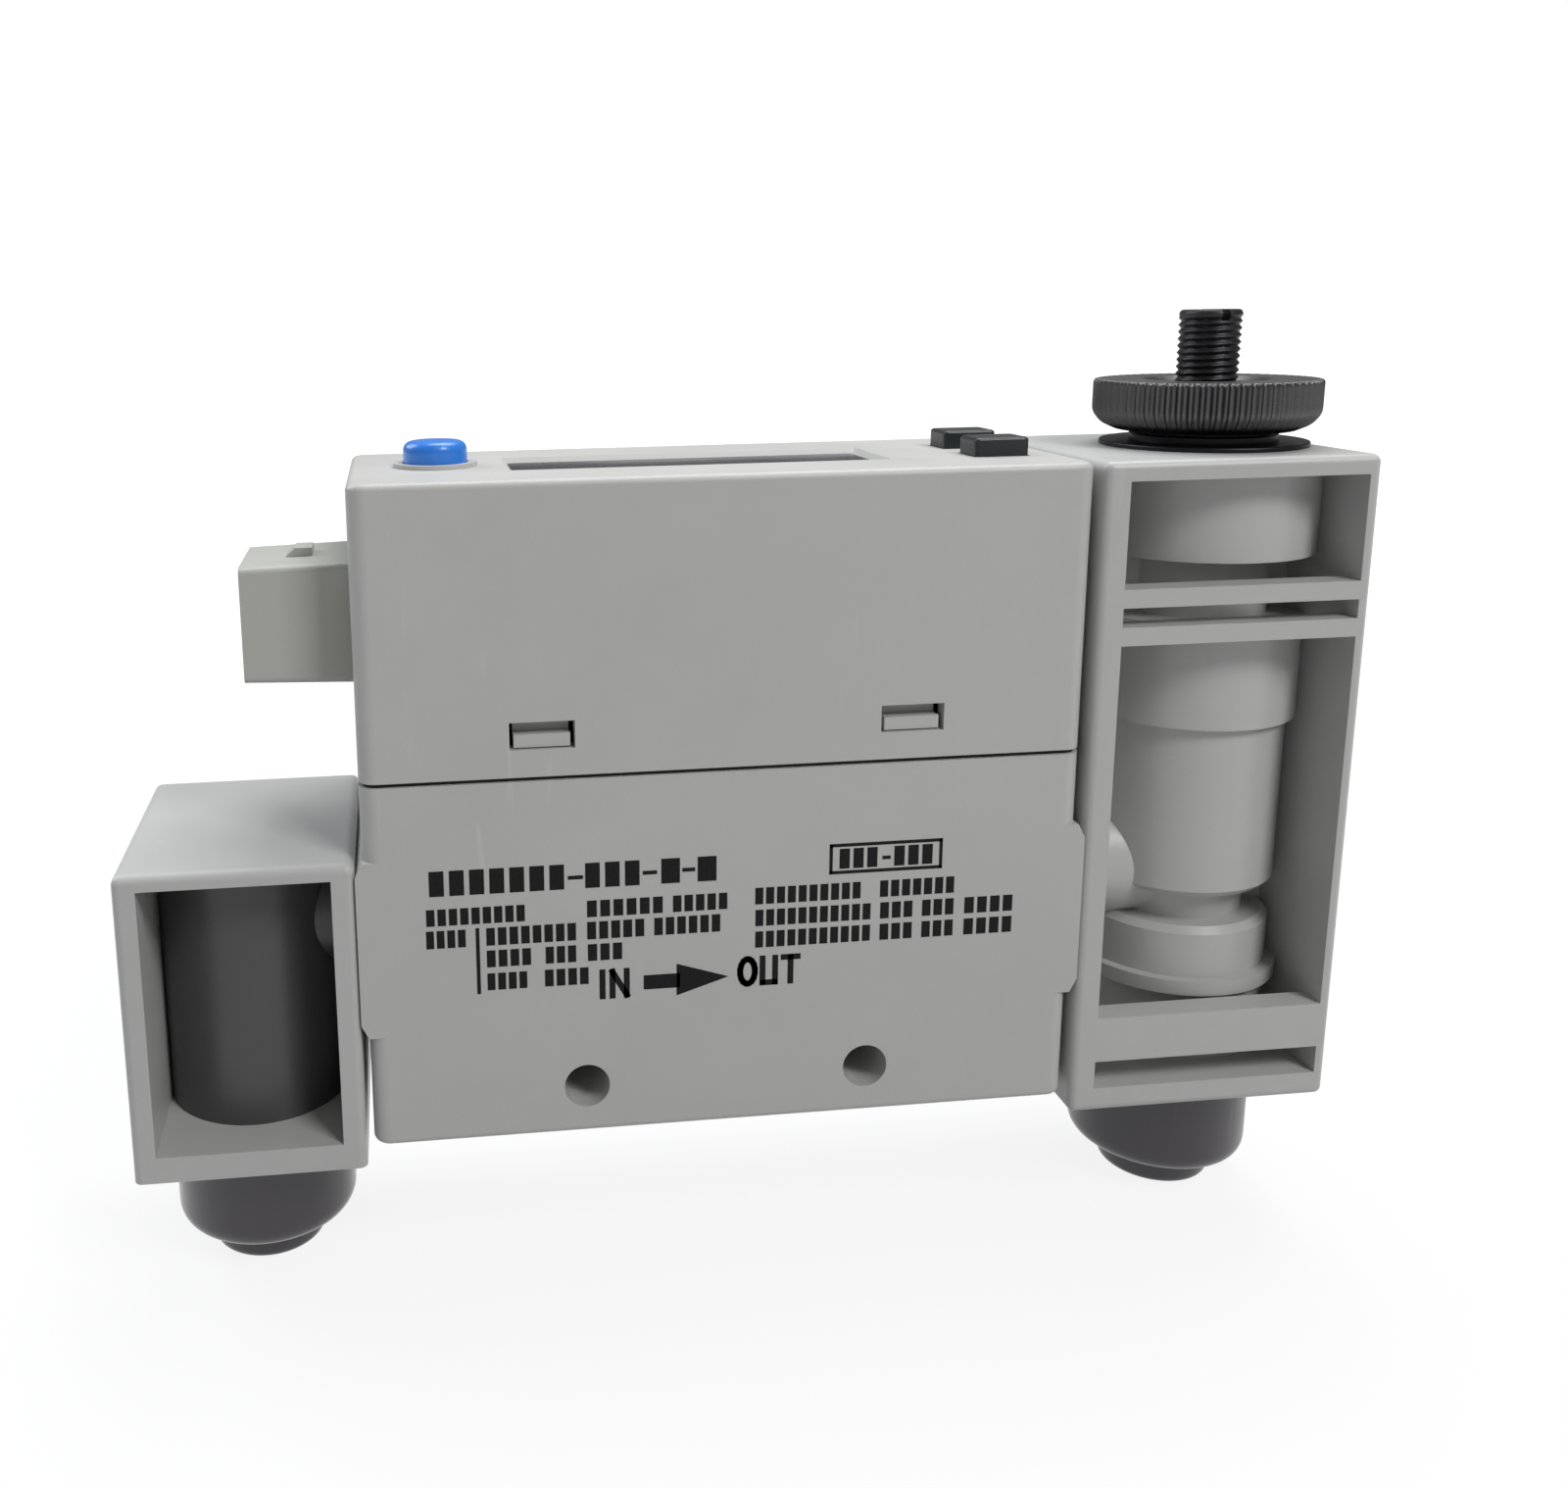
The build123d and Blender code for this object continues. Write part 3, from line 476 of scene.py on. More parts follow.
class FlowSwitchMetal(bpy.types.PropertyGroup):
    flutes: bpy.props.IntProperty(
        name="Nut flutes", description="Flutes round the lock nut's grip", default=64, min=12
    )
    flute_depth: bpy.props.FloatProperty(
        name="Flute depth", description="Depth of one flute", default=0.32 * MM, unit="LENGTH", subtype="DISTANCE"
    )
    pitch: bpy.props.FloatProperty(
        name="Thread pitch", description="Rise of the stud's thread in a turn", default=0.5 * MM, unit="LENGTH"
    )
    thread_depth: bpy.props.FloatProperty(
        name="Thread depth", description="Depth of the stud's thread", default=0.2 * MM, unit="LENGTH"
    )


class FlowSwitchColours(bpy.types.PropertyGroup):
    case: bpy.props.FloatVectorProperty(
        name="Case", description="Colour of the case and body", default=(0.50, 0.50, 0.485), subtype="COLOR"
    )
    housing: bpy.props.FloatVectorProperty(
        name="Housing", description="Colour of the port housings", default=(0.49, 0.495, 0.485), subtype="COLOR"
    )
    fitting: bpy.props.FloatVectorProperty(
        name="Fitting", description="Colour of the tube fittings", default=(0.030, 0.024, 0.034), subtype="COLOR"
    )
    set_key: bpy.props.FloatVectorProperty(
        name="Set key", description="Colour of the round key", default=(0.022, 0.20, 0.72), subtype="COLOR"
    )
    ink: bpy.props.FloatVectorProperty(
        name="Ink", description="Colour of the printed marks", default=(0.008, 0.008, 0.009), subtype="COLOR"
    )


class FlowSwitchStudio(bpy.types.PropertyGroup):
    key: bpy.props.FloatProperty(name="Key", description="Power of the main lamp", default=1.45, unit="POWER")
    top: bpy.props.FloatProperty(name="Top", description="Power of the lamp overhead", default=2.9, unit="POWER")
    side: bpy.props.FloatProperty(
        name="Side", description="Power of the lamp behind the left end", default=1.7, unit="POWER"
    )
    sky: bpy.props.FloatProperty(name="Sky", description="Strength of the even light all round", default=0.22)
    lens: bpy.props.FloatProperty(name="Lens", description="Focal length", default=33.71, unit="CAMERA")


# Pieces


class FLOWSWITCH_OT_finishes(bpy.types.Operator):
    """Build the node groups and put a finish on every CAD node that stays in view"""

    bl_idname = "flowswitch.finishes"
    bl_label = "Finishes"

    def execute(self, context):
        for build in (moulded_grain, handling_marks, turned_rings):
            build()
        colours = context.scene.flowswitch_colours
        case = moulded_plastic("case_finish", colours.case, 0.42, marks=0.55)
        housing = moulded_plastic("housing_finish", colours.housing, 0.38, pit_scale=4200.0, marks=0.35)
        socket = moulded_plastic("socket_finish", (0.45, 0.455, 0.42), 0.40, marks=0.3)
        elbow = moulded_plastic("elbow_finish", (0.065, 0.062, 0.064), 0.36, marks=0.4)
        inner = moulded_plastic("inner_finish", (0.06, 0.06, 0.065), 0.45, marks=0.2)
        rubber = moulded_plastic(
            "rubber_finish", (0.018, 0.018, 0.019), 0.62, pit=0.000006, marks=0.2, specular=0.3
        )
        board = moulded_plastic("board_finish", (0.02, 0.16, 0.07), 0.30, pit_scale=1800.0, marks=0.2, coat=0.3)
        steel = turned_metal("steel_finish", (0.60, 0.60, 0.61), 0.28, AXIS)
        brass = turned_metal("contact_finish", (0.80, 0.62, 0.30), 0.25, AXIS)
        for name in ("upper_case", "lower_body"):
            finish_node(name, case)
        for name in ("out_valve_body", "in_port_block"):
            finish_node(name, housing)
        finish_node("connector_socket", socket)
        finish_node("in_elbow", elbow)
        for name in ("set_switch", "up_switch", "down_switch", "flow_sensor_chip", "measuring_orifice",
                     "in_seal_spacer", "out_seal_spacer", "display_module"):
            finish_node(name, inner)
        for name in ("case_gasket", "sensor_gasket", "in_port_o_ring", "out_port_o_ring", "needle_o_ring",
                     "nut_friction_ring", "in_tube_seal", "out_tube_seal"):
            finish_node(name, rubber)
        for name in ("main_board", "sensor_board"):
            finish_node(name, board)
        for name in ("board_header", "connector_pins"):
            finish_node(name, brass)
        for name in ("inlet_screen", "outlet_screen", "in_port_clip", "out_port_clip", "valve_seat",
                     "in_collet", "out_collet"):
            finish_node(name, steel)
        return {"FINISHED"}


class FLOWSWITCH_OT_lock_nut(bpy.types.Operator):
    """Build the knurled lock nut on the needle"""

    bl_idname = "flowswitch.lock_nut"
    bl_label = "Lock nut"

    def execute(self, context):
        metal = context.scene.flowswitch_metal
        low, high = NUT_LOW.z, NUT_HIGH.z
        outer = (NUT_HIGH.x - NUT_LOW.x) / 2
        recess = high - NUT_RECESS_DEPTH
        profile = rounded(
            [
                (BUSH_BORE, low),
                (NUT_FOOT, low, 0.1 * MM),
                (NUT_SHOULDER, low + NUT_SHOULDER_RISE, 0.4 * MM),
                (outer, low + NUT_GRIP_RISE, 0.4 * MM),
                (outer, high, 0.3 * MM),
                (NUT_RECESS_EDGE, high, 0.15 * MM),
                (NUT_RECESS_FLOOR, recess, 0.15 * MM),
                (BUSH_BORE + NUT_CHAMFER, recess),
                (BUSH_BORE, recess - NUT_CHAMFER_DEPTH),
            ]
        )
        profile = densify(profile, step=0.22 * MM)

        def fluted(r, z, a):
            """Radius less depth * (1 - |sin(n a / 2)|^3.2), faded in from the radius where the flutes start."""
            wave = np.sin(a * metal.flutes / 2) ** 2
            reach = np.clip((r - NUT_FLUTES_START) / (NUT_FLUTES_FULL - NUT_FLUTES_START), 0, 1)
            return r - metal.flute_depth * (1 - wave**1.6) * reach, z

        nut = revolved("knurled_lock_nut", profile, AXIS, metal.flutes * FLUTE_POINTS, fluted)
        finish = turned_metal("nut_finish", (0.115, 0.112, 0.115), 0.36, AXIS, marks=0.7)
        finish_piece(nut, finish, "nut", "nut_metal", "lock_nut")
        return {"FINISHED"}


class FLOWSWITCH_OT_needle(bpy.types.Operator):
    """Build the needle with its threaded and slotted stud, its ring groove and its tapered tip"""

    bl_idname = "flowswitch.needle"
    bl_label = "Needle"

    def execute(self, context):
        metal = context.scene.flowswitch_metal
        low, high = NEEDLE_LOW.z, NEEDLE_HIGH.z
        thread_end = TOP - STUD_END_DROP
        r = STUD_RADIUS
        collar = COLLAR_RADIUS
        ring = TOP - RING_DROP
        stem = rounded(
            [
                (0.0, low),
                (TIP_RADIUS, low, 0.1 * MM),
                (STEM_RADIUS, TOP - TAPER_DROP, 0.2 * MM),
                (STEM_RADIUS, ring - 2 * GROOVE_HALF, 0.1 * MM),
                (collar, ring - 2 * GROOVE_HALF, 0.08 * MM),
                (collar, ring - GROOVE_HALF),
                (GROOVE_RADIUS, ring - GROOVE_HALF),
                (GROOVE_RADIUS, ring + GROOVE_HALF),
                (collar, ring + GROOVE_HALF),
                (collar, thread_end, 0.08 * MM),
            ]
        )
        stud_z = np.arange(thread_end, high - STUD_TOP_DROP, metal.pitch / THREAD_POINTS)
        stud = np.stack([np.full(len(stud_z), r), stud_z], -1)
        cap = np.array([[r - lost, high - drop] for lost, drop in STUD_ROUND] + [[0.0, high]])
        profile = np.concatenate([stem, stud, cap])

        def threaded(rr, z, a):
            """Radius less depth * |2 f - 1|, where f is the part turn z / pitch - a / 2 pi, on the stud only and
            faded out below its end."""
            part = np.mod(z / metal.pitch - a / TAU, 1.0)
            on = (z > thread_end + THREAD_RUN_IN) & (z < high - THREAD_STOP) & (rr > r - 0.01 * MM) & (rr < collar)
            fade = np.clip((high - STUD_ROUND[0][1] - z) / THREAD_FADE, 0, 1)
            return np.where(on, rr - metal.thread_depth * np.abs(2 * part - 1) * fade, rr), z

        needle = revolved("threaded_needle", profile, AXIS, 96, threaded, sharp=50)
        cut_slot(needle, Vector((*AXIS, high)), SLOT_WIDTH, SLOT_DEPTH, 3 * r)
        finish = turned_metal("needle_finish", (0.05, 0.049, 0.052), 0.34, AXIS, marks=0.9)
        finish_piece(needle, finish, "needle_stem", "needle_metal", "needle")
        return {"FINISHED"}


def cut_slot(obj, top_centre, width, depth, length):
    """Cuts a straight screwdriver slot along Y into the top of a closed mesh."""
    half = np.array([width / 2, length / 2, depth])
    signs = np.array([[x, y, z] for x in (-1, 1) for y in (-1, 1) for z in (-1, 1)])
    corners = np.array(top_centre) + signs * half
    quads = [(0, 1, 3, 2), (4, 6, 7, 5), (0, 4, 5, 1), (2, 3, 7, 6), (0, 2, 6, 4), (1, 5, 7, 3)]
    cutter = mesh_object("slot_cutter", corners, quads, smooth=False)
    step = obj.modifiers.new("slot", "BOOLEAN")
    step.operation, step.solver, step.object = "DIFFERENCE", "EXACT", cutter
    graph = bpy.context.evaluated_depsgraph_get()
    carved = bpy.data.meshes.new_from_object(obj.evaluated_get(graph))
    obj.modifiers.clear()
    obj.data = carved
    bpy.data.objects.remove(cutter)


class FLOWSWITCH_OT_needle_guide(bpy.types.Operator):
    """Build the bush that the needle turns in, with its collar and a thin wide black disc round it on the
    housing's top, painted shade under the lock nut
    """

    bl_idname = "flowswitch.needle_guide"
    bl_label = "Needle guide"

    def execute(self, context):
        # Radius of the thin black disc on the housing's top: painted shade where the lock nut's shade falls
        flange_or_shade_disc = (GUIDE_HIGH.x - GUIDE_LOW.x) / 2
        profile = rounded(
            [
                (BUSH_BORE, GUIDE_LOW.z),
                (BUSH_RADIUS, GUIDE_LOW.z, 0.1 * MM),
                (BUSH_RADIUS, TOP),
                (flange_or_shade_disc, TOP),
                (flange_or_shade_disc, TOP + SHADE_DISC_HEIGHT, 0.15 * MM),
                (BUSH_CORE, TOP + SHADE_DISC_HEIGHT),
                (BUSH_CORE, GUIDE_HIGH.z, 0.1 * MM),
                (BUSH_BORE, GUIDE_HIGH.z),
            ]
        )
        guide = revolved("needle_bush", densify(profile, step=0.6 * MM), AXIS, 128)
        # Black turned finish of the bush and of its thin disc, which is painted shade under the lock nut
        finish = turned_metal("bush_finish", (0.035, 0.034, 0.037), 0.4, AXIS, marks=0.4)
        finish_piece(guide, finish, "base", "bush_metal", "needle_guide")
        return {"FINISHED"}


class FLOWSWITCH_OT_fittings(bpy.types.Operator):
    """Build the guide ring and the release button of both tube fittings"""

    bl_idname = "flowswitch.fittings"
    bl_label = "Tube fittings"

    def execute(self, context):
        colour = context.scene.flowswitch_colours.fitting
        finish = moulded_plastic(
            "fitting_finish", colour, 0.26, pit=0.000004, pit_scale=3000.0, marks=0.5, coat=0.35
        )
        for end in ("in", "out"):
            low, high = (Vector(v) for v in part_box(f"{end}_guide_ring"))
            axis = ((low.x + high.x) / 2, 0.0)
            outer = (high.x - low.x) / 2
            face = VALVE_LOW.z
            ledge = high.z - LEDGE_DROP
            profile = rounded(
                [
                    (GUIDE_BORE, low.z, 0.25 * MM),
                    (outer, low.z, 1.5 * MM),
                    (outer, face),
                    (GUIDE_SPIGOT, face),
                    (GUIDE_SPIGOT, high.z, 0.2 * MM),
                    (GUIDE_RECESS, high.z),
                    (GUIDE_RECESS, ledge),
                    (GUIDE_BORE, ledge),
                ],
                steps=10,
            )
            ring = revolved(f"{end}_fitting_ring", densify(profile, step=0.8 * MM), axis, 160)
            finish_piece(ring, finish, "base", "dark_plastic", f"{end}_guide_ring")
            low, high = (Vector(v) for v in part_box(f"{end}_release_button"))
            flange_or_shade_disc = (high.x - low.x) / 2
            profile = rounded(
                [
                    (TUBE_BORE, low.z + TUBE_LEAD_IN_HEIGHT, 0.2 * MM),
                    (TUBE_LEAD_IN, low.z, 0.3 * MM),
                    (BUTTON_RADIUS, low.z, 0.6 * MM),
                    (BUTTON_RADIUS, ledge),
                    (flange_or_shade_disc, ledge, 0.1 * MM),
                    (flange_or_shade_disc, high.z, 0.1 * MM),
                    (TUBE_BORE, high.z),
                ],
                steps=8,
            )
            button = revolved(f"{end}_release_ring", densify(profile, step=0.8 * MM), axis, 144)
            finish_piece(button, finish, f"{end}_release", "dark_plastic", f"{end}_release_button")
        return {"FINISHED"}


class FLOWSWITCH_OT_keys(bpy.types.Operator):
    """Build the round key and the two arrow keys"""

    bl_idname = "flowswitch.keys"
    bl_label = "Keys"

    def execute(self, context):
        colours = context.scene.flowswitch_colours
        blue = moulded_plastic("set_key_finish", colours.set_key, 0.30, pit=0.000003, marks=0.4, coat=0.25)
        dark = moulded_plastic("arrow_key_finish", (0.010, 0.015, 0.015), 0.34, pit=0.000003, marks=0.5, coat=0.1)
        low, high = (Vector(v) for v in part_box("set_button"))
        x = (low.x + high.x) / 2
        flange_or_shade_disc = (high.x - low.x) / 2
        under = low.z + KEY_FLANGE
        profile = rounded(
            [
                (0.0, low.z),
                (flange_or_shade_disc, low.z),
                (flange_or_shade_disc, under),
                (SET_CAP_RADIUS, under),
                (SET_CAP_RADIUS, high.z - SET_CAP_DOME, 0.75 * MM),
                (0.0, high.z),
            ],
            steps=10,
        )
        key = revolved("round_set_key", densify(profile, step=0.3 * MM), (x, 0.0), 96)
        finish_piece(key, blue, "set_key", "blue_plastic", "set_button")
        for name in ("up", "down"):
            low, high = (Vector(v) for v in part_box(f"{name}_button"))
            middle = (low + high) / 2
            foot = low.z + KEY_FLANGE
            cap = superellipse_block(
                f"{name}_arrow_key",
                (middle.x - ARROW_CAP.x, middle.y - ARROW_CAP.y, foot),
                (middle.x + ARROW_CAP.x, middle.y + ARROW_CAP.y, high.z),
                power=14.0,
                crown=0.05 * MM,
                edge=0.22 * MM,
            )
            plate = superellipse_block(
                f"{name}_arrow_flange",
                (low.x, low.y, low.z),
                (high.x, high.y, foot),
                power=20.0,
                crown=0.0,
                edge=0.05 * MM,
            )
            finish_piece(cap, dark, f"{name}_key", "button_plastic", f"{name}_button")
            finish_piece(plate, dark, f"{name}_key", "button_plastic")
        return {"FINISHED"}


class FLOWSWITCH_OT_display(bpy.types.Operator):
    """Build the dark display window"""

    bl_idname = "flowswitch.display"
    bl_label = "Display"

    def execute(self, context):
        low, high = (Vector(v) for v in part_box("display_window"))
        window = superellipse_block(
            "display_lens", tuple(low), tuple(high), power=60.0, crown=0.0, edge=0.06 * MM, columns=160
        )
        material, tree, shader, where = start_material("display_finish", Specular_IOR_Level=0.08)
        grain = use_group(tree, "Moulded grain", where, Pit_scale=2500.0, Drift_scale=120.0)
        base = blend_colour(tree, grain["Tone"], (0.010, 0.009, 0.012, 1), (0.022, 0.019, 0.027, 1))
        tree.links.new(base, shader.inputs["Base Color"])
        wear = use_group(tree, "Handling marks", where, Amount=0.5)
        tree.links.new(maths(tree, "ADD", wear["Film"], 0.22, clamp=True), shader.inputs["Roughness"])
        bump(tree, shader, grain["Height"], 0.000001)
        finish_piece(window, material, "base", "lens_plastic", "display_window")
        return {"FINISHED"}


def slabs(name, corners, proud):
    """Thin closed slabs that stand proud of the label face, from an array (n, 4, 2) of their corners' X and Z:
    the corner (x, z) makes the points (x, FRONT, z) and (x, FRONT - proud, z), all slabs as one array."""
    flat = np.asarray(corners, float)
    y = np.broadcast_to(np.array([FRONT, FRONT - proud])[None, :, None], (len(flat), 2, 4))
    xz = np.broadcast_to(flat[:, None], (len(flat), 2, 4, 2))
    points = np.stack([xz[..., 0], y, xz[..., 1]], -1).reshape(-1, 3)
    quads = np.array([(0, 1, 2, 3), (4, 7, 6, 5), (0, 4, 5, 1), (1, 5, 6, 2), (2, 6, 7, 3), (3, 7, 4, 0)])
    faces = (np.arange(len(flat))[:, None, None] * 8 + quads[None]).reshape(-1, 4)
    return mesh_object(name, points, faces, smooth=False)


def blocks(x0, x1, z, height, count=1, gap=0.26):
    """Corners of a row of equal blocks between x0 and x1, in millimetres right of the body's left side and
    below its top: block k runs from x0 + k p to x0 + k p + p (1 - gap), where p is the pitch of the row."""
    share = gap if count > 1 else 0.0
    pitch = (x1 - x0) / (count - share)
    left = x0 + np.arange(count) * pitch
    right = left + pitch * (1 - share)
    low, high = np.full(count, z + height), np.full(count, z)
    corners = [(left, low), (right, low), (right, high), (left, high)]
    return np.stack([np.stack(corner, -1) for corner in corners], 1)


def strokes(path, width):
    """Corners of the straight strokes of a width along a path of (x, z) points, each half a width longer at
    both ends: a stroke from p to q has the corners p - w (u + n), q + w (u - n), q + w (u + n), p - w (u - n)."""
    path = np.array(path, float)
    p, q = path[:-1], path[1:]
    u = (q - p) / np.linalg.norm(q - p, axis=1)[:, None]
    n = np.stack([-u[:, 1], u[:, 0]], -1)
    w = width / 2
    return np.stack([p - w * (u + n), q + w * (u - n), q + w * (u + n), p - w * (u - n)], 1)


# Rows of blocks on the label face: left and right from the body's left side, drop below its top, height, in
# millimetres, and number of blocks. The rule and the arrow's shaft are rows of one block. The box gives its two
# sides, its drop and its height, and the arrow's head its tail, its tip and its upper and lower corners. The
# words give the drops of their letters' tops and feet, the letters their strokes' distances from the body's
# left side, and the letter O its middle and half its width.
PRINT_ROWS = [
    (4.93, 14.10, 26.20, 1.80, 7),
    (14.35, 15.40, 27.05, 0.28, 1),
    (15.54, 19.29, 26.20, 1.80, 3),
    (19.50, 20.50, 27.00, 0.28, 1),
    (20.79, 22.09, 26.20, 1.80, 1),
    (22.25, 23.15, 26.95, 0.28, 1),
    (23.32, 24.64, 26.20, 1.80, 1),
    (4.67, 11.37, 28.93, 1.20, 9),
    (15.64, 20.89, 28.93, 1.20, 6),
    (21.60, 25.41, 28.93, 1.20, 5),
    (4.62, 7.30, 30.48, 1.28, 4),
    (8.70, 14.86, 30.48, 1.28, 8),
    (15.63, 19.59, 30.48, 1.28, 5),
    (20.29, 24.92, 30.48, 1.28, 6),
    (8.70, 11.73, 32.12, 1.23, 4),
    (12.74, 14.85, 32.12, 1.23, 3),
    (15.66, 18.04, 32.12, 1.23, 3),
    (8.70, 11.44, 33.80, 1.24, 4),
    (12.66, 15.69, 33.80, 1.24, 4),
    (33.30, 36.00, 26.22, 1.46, 3),
    (36.35, 36.95, 26.90, 0.26, 1),
    (37.20, 39.95, 26.22, 1.46, 3),
    (27.37, 34.86, 28.72, 1.22, 10),
    (36.25, 41.59, 28.72, 1.22, 7),
    (27.40, 35.61, 30.35, 1.20, 11),
    (36.30, 38.63, 30.35, 1.20, 3),
    (39.33, 41.61, 30.35, 1.20, 3),
    (42.40, 45.90, 30.35, 1.20, 4),
    (27.40, 35.61, 31.95, 1.20, 11),
    (36.30, 38.63, 31.95, 1.20, 3),
    (39.33, 41.61, 31.95, 1.20, 3),
    (42.40, 45.90, 31.95, 1.20, 4),
]
RULE = (7.98, 8.24, 30.43, 4.85, 1)
BOX = (32.58, 40.66, 25.84, 2.22)
BOX_LINE = 0.24
ARROW_SHAFT = (19.53, 22.10, 34.68, 1.06, 1)
ARROW_HEAD = (21.85, 25.53, 33.97, 36.34)
LETTER_LINE = 0.42
WORD_IN = (34.25, 36.05)
WORD_OUT = (33.98, 35.80)
LETTER_I = 16.65
LETTER_N = (17.35, 18.35)
LETTER_O = (26.88, 0.52)
LETTER_U = (27.95, 28.85)
LETTER_T = (29.45, 29.95, 30.45)
INK_HEIGHT = 0.012 * MM


def label_marks():
    """Corners of every mark on the label face, in metres: the rows, the rule, the box, the flow arrow and the
    words IN and OUT drawn as strokes, where O is a circle of 16 strokes flattened at its sides."""
    parts = [blocks(*row) for row in (*PRINT_ROWS, RULE, ARROW_SHAFT)]
    x0, x1, z0, high = BOX
    inset = BOX_LINE / 2
    xs, zs = (x0 + inset, x1 - inset), (z0 + inset, z0 + high - inset)
    outline = [(xs[0], zs[0]), (xs[1], zs[0]), (xs[1], zs[1]), (xs[0], zs[1]), (xs[0], zs[0])]
    parts.append(strokes(outline, BOX_LINE))
    tail, tip, upper, lower = ARROW_HEAD
    middle = (upper + lower) / 2
    parts.append([[(tail, lower), (tip, middle), (tip, middle), (tail, upper)]])
    top, foot = WORD_IN
    parts.append(strokes([(LETTER_I, top), (LETTER_I, foot)], LETTER_LINE))
    left, right = LETTER_N
    parts.append(strokes([(left, foot), (left, top), (right, foot), (right, top)], LETTER_LINE))
    top, foot = WORD_OUT
    turn = np.linspace(0, TAU, 17)
    centre, half = LETTER_O
    side, drop = centre + half * np.cos(turn), (top + foot) / 2 + (foot - top) / 2 * np.sin(turn)
    parts.append(strokes(np.stack([side, drop], -1), LETTER_LINE))
    left, right = LETTER_U
    parts.append(strokes([(left, top), (left, foot), (right, foot), (right, top)], LETTER_LINE))
    left, stem, right = LETTER_T
    parts.append(strokes([(left, top), (right, top)], LETTER_LINE))
    parts.append(strokes([(stem, top), (stem, foot)], LETTER_LINE))
    marks = np.concatenate([np.asarray(part, float) for part in parts])
    return np.stack([BODY_LOW.x + marks[..., 0] * MM, TOP - marks[..., 1] * MM], -1)


class FLOWSWITCH_OT_print(bpy.types.Operator):
    """Print the label face: rows of plain blocks, a rule, a box, the flow arrow and the words IN and OUT"""

    bl_idname = "flowswitch.print"
    bl_label = "Print"

    def execute(self, context):
        ink, tree, shader, where = start_material("ink_finish", Roughness=0.7, Specular_IOR_Level=0.15)
        colour = context.scene.flowswitch_colours.ink
        worn = noise(tree, where, 4500.0, 2.0)
        thin = maths(tree, "MULTIPLY_ADD", worn, 0.5, -0.1, clamp=True)
        mixed = blend_colour(tree, thin, (*colour, 1), (0.035, 0.035, 0.036, 1))
        tree.links.new(mixed, shader.inputs["Base Color"])
        marks = slabs("printed_marks", label_marks(), INK_HEIGHT)
        finish_piece(marks, ink, "base", "dark_plastic")
        return {"FINISHED"}


class FLOWSWITCH_OT_stage(bpy.types.Operator):
    """Set the floor, the lamps, the sky and the camera"""

    bl_idname = "flowswitch.stage"
    bl_label = "Stage"

    def execute(self, context):
        studio = context.scene.flowswitch_studio
        corners = [(-FLOOR_HALF, -FLOOR_HALF, 0), (FLOOR_HALF, -FLOOR_HALF, 0)]
        corners += [(FLOOR_HALF, FLOOR_HALF, 0), (-FLOOR_HALF, FLOOR_HALF, 0)]
        floor = mesh_object("floor", corners, [(0, 1, 2, 3)], smooth=False)
        floor.data.materials.append(pale_floor())
        for name, direction, distance, size, setting, colour in LAMPS:
            lamp(name, direction, distance, size, getattr(studio, setting), colour)
        world = bpy.data.worlds.new("studio_sky")
        world.use_nodes = True
        tree = world.node_tree
        sky = tree.nodes["Background"]
        light = tree.nodes.new("ShaderNodeLightPath")
        seen = maths(tree, "MAXIMUM", light.outputs["Is Camera Ray"], light.outputs["Is Transmission Ray"])
        strength = maths(tree, "MULTIPLY_ADD", seen, SKY_SEEN - studio.sky, studio.sky)
        tree.links.new(strength, sky.inputs["Strength"])
        sky.inputs["Color"].default_value = (1, 1, 1, 1)
        context.scene.world = world
        context.scene.view_settings.view_transform = "Standard"
        camera(context, studio.lens)
        return {"FINISHED"}


def pale_floor():
    """White floor for the camera and the mirror rays that still takes the object's shadow near the object, and
    a plain grey floor for the light that it throws back."""
    material, tree, shader, where = start_material("floor_finish", Roughness=0.6)
    patch = noise(tree, where, 6.0, 2.0)
    tone = blend_colour(tree, patch, (0.38, 0.38, 0.38, 1), (0.42, 0.42, 0.42, 1))
    tree.links.new(tone, shader.inputs["Base Color"])
    glow = tree.nodes.new("ShaderNodeEmission")
    glow.inputs["Strength"].default_value = FLOOR_GLOW
    light = tree.nodes.new("ShaderNodeLightPath")
    seen = maths(tree, "MAXIMUM", light.outputs["Is Camera Ray"], light.outputs["Is Glossy Ray"])
    seen = maths(tree, "MAXIMUM", seen, light.outputs["Is Transmission Ray"])
    away = tree.nodes.new("ShaderNodeVectorMath")
    away.operation = "LENGTH"
    tree.links.new(where, away.inputs[0])
    white = add(tree, "ShaderNodeMapRange", interpolation_type="SMOOTHSTEP", To_Min=0.72, To_Max=1.0)
    white.inputs["From Min"].default_value, white.inputs["From Max"].default_value = SHADOW_REACH
    tree.links.new(away.outputs["Value"], white.inputs["Value"])
    mix = tree.nodes.new("ShaderNodeMixShader")
    tree.links.new(maths(tree, "MULTIPLY", seen, white.outputs[0]), mix.inputs[0])
    tree.links.new(shader.outputs[0], mix.inputs[1])
    tree.links.new(glow.outputs[0], mix.inputs[2])
    tree.links.new(mix.outputs[0], tree.nodes["Material Output"].inputs["Surface"])
    return material


def lamp(name, direction, distance, size, power, colour):
    """A square soft lamp at a distance along a direction from the aim, and turned to it."""
    data = bpy.data.lights.new(name, "AREA")
    data.shape, data.size, data.energy, data.color = "SQUARE", size, power, colour
    obj = bpy.data.objects.new(name, data)
    obj.location = LAMP_AIM + direction.normalized() * distance
    obj.rotation_euler = (-direction).to_track_quat("-Z", "Y").to_euler()
    bpy.context.scene.collection.objects.link(obj)


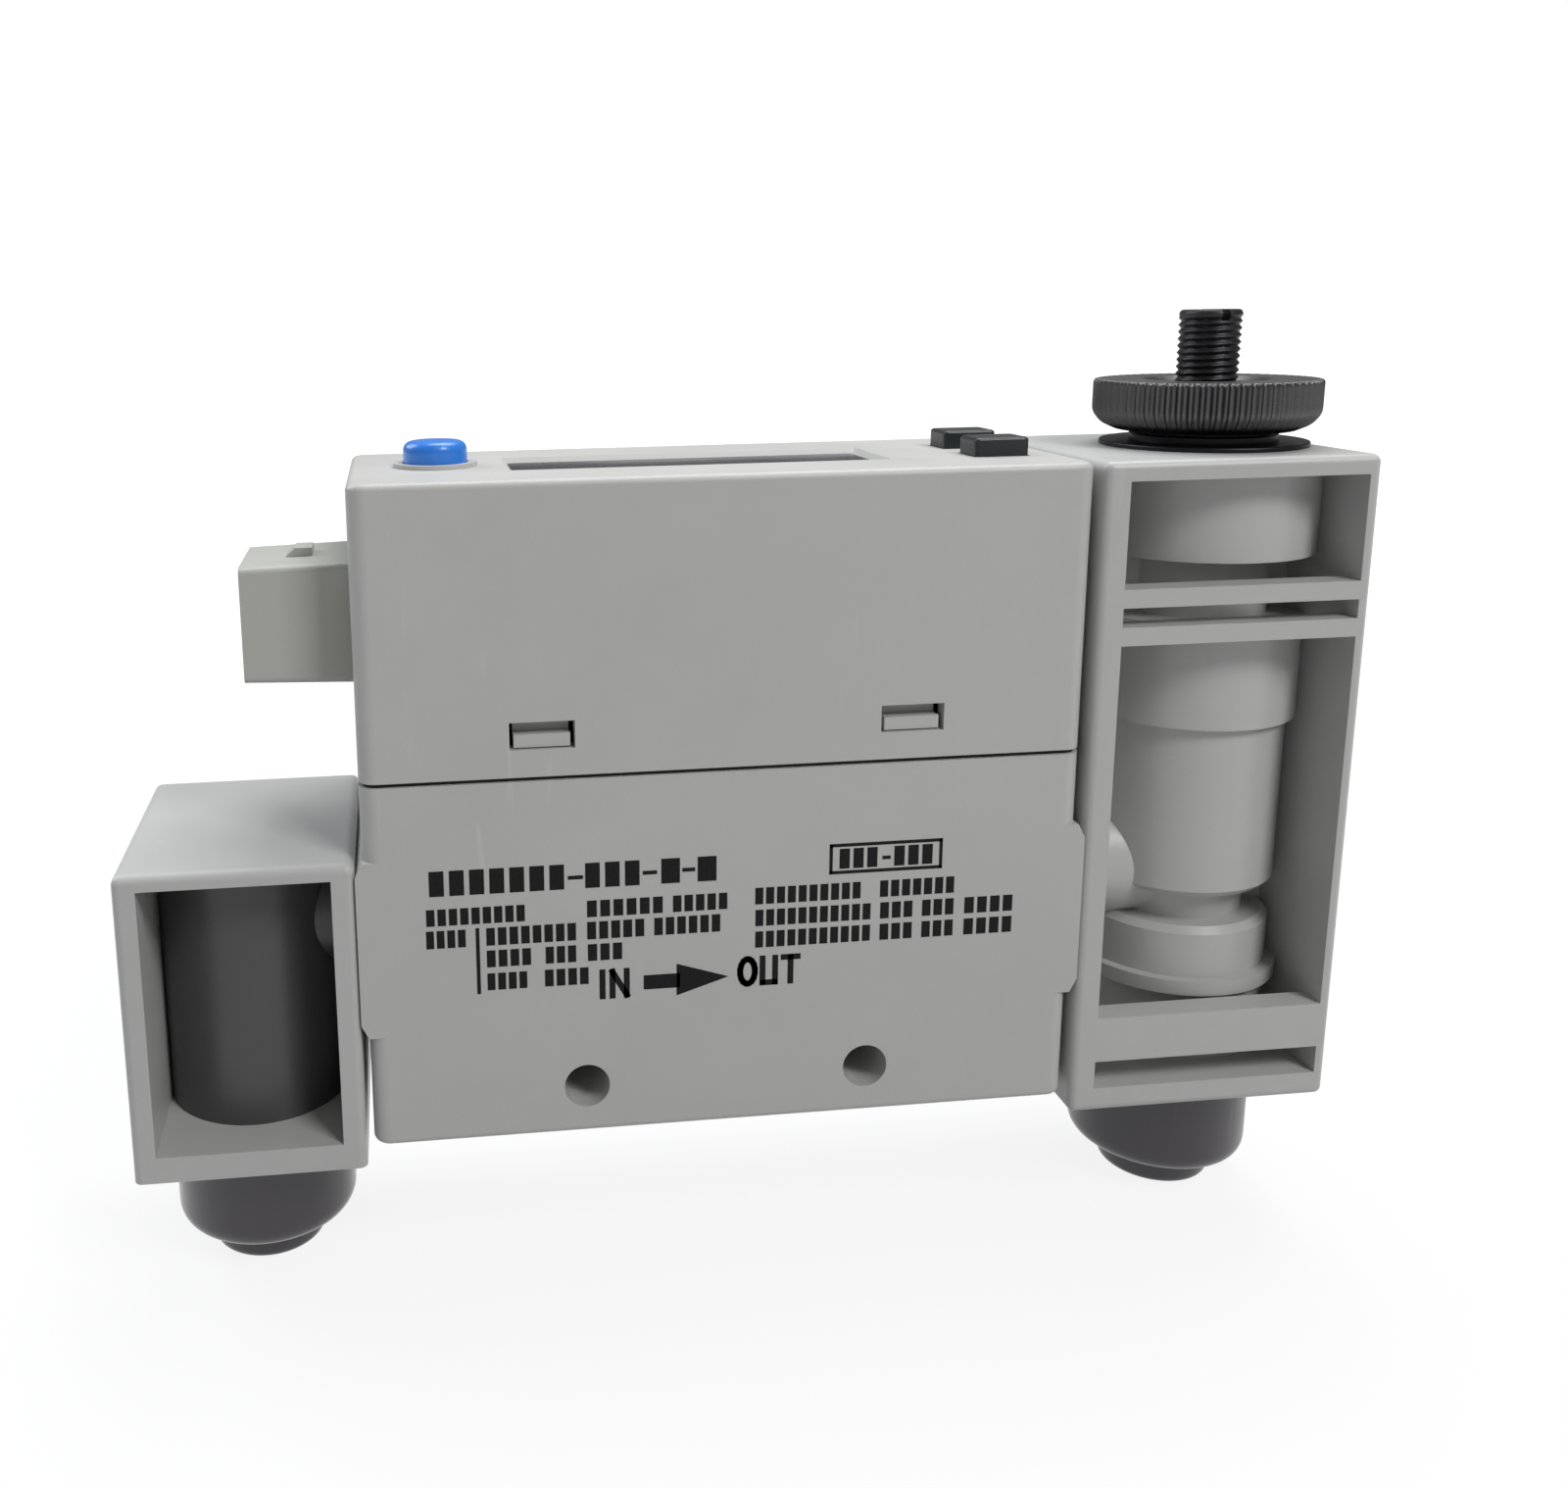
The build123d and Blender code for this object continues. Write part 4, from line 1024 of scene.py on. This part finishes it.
def camera(context, lens):
    """The photograph's camera, solved from the case's corners, in the row frame."""
    data = bpy.data.cameras.new("camera")
    data.lens, data.sensor_width = lens, SENSOR_WIDTH
    data.shift_x, data.shift_y = CAMERA_SHIFT
    data.clip_start, data.clip_end = 0.01, 20.0
    ahead = CAMERA_AHEAD.normalized()
    right = ahead.cross(CAMERA_UP).normalized()
    up = right.cross(ahead)
    obj = bpy.data.objects.new("camera", data)
    turn = Matrix((right, up, -ahead)).transposed()
    obj.matrix_world = Matrix.Translation(CAMERA_AT) @ turn.to_4x4()
    context.scene.collection.objects.link(obj)
    context.scene.camera = obj


class FLOWSWITCH_PT_panel(bpy.types.Panel):
    """Lists the pieces, the finishes and the studio"""

    bl_idname = "FLOWSWITCH_PT_panel"
    bl_label = "Flow switch"
    bl_space_type = "VIEW_3D"
    bl_region_type = "UI"
    bl_category = "Flow switch"

    def draw(self, context):
        for operator in OPERATORS:
            self.layout.operator(operator.bl_idname)
        for group in ("flowswitch_metal", "flowswitch_colours", "flowswitch_studio"):
            settings = getattr(context.scene, group)
            for name in settings.__annotations__:
                self.layout.prop(settings, name)


GROUPS = {
    "flowswitch_metal": FlowSwitchMetal,
    "flowswitch_colours": FlowSwitchColours,
    "flowswitch_studio": FlowSwitchStudio,
}
OPERATORS = [
    FLOWSWITCH_OT_finishes,
    FLOWSWITCH_OT_lock_nut,
    FLOWSWITCH_OT_needle,
    FLOWSWITCH_OT_needle_guide,
    FLOWSWITCH_OT_fittings,
    FLOWSWITCH_OT_keys,
    FLOWSWITCH_OT_display,
    FLOWSWITCH_OT_print,
    FLOWSWITCH_OT_stage,
]


def register():
    for name, group in GROUPS.items():
        bpy.utils.register_class(group)
        setattr(bpy.types.Scene, name, bpy.props.PointerProperty(type=group))
    for item in (*OPERATORS, FLOWSWITCH_PT_panel):
        bpy.utils.register_class(item)


def unregister():
    for item in (FLOWSWITCH_PT_panel, *reversed(OPERATORS)):
        bpy.utils.unregister_class(item)
    for name, group in GROUPS.items():
        delattr(bpy.types.Scene, name)
        bpy.utils.unregister_class(group)


def main():
    """Registers the add-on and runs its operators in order."""
    register()
    for operator in OPERATORS:
        family, name = operator.bl_idname.split(".")
        if getattr(getattr(bpy.ops, family), name)() != {"FINISHED"}:
            raise RuntimeError(f"{operator.bl_label} did not finish")


if __name__ == "__main__":
    main()
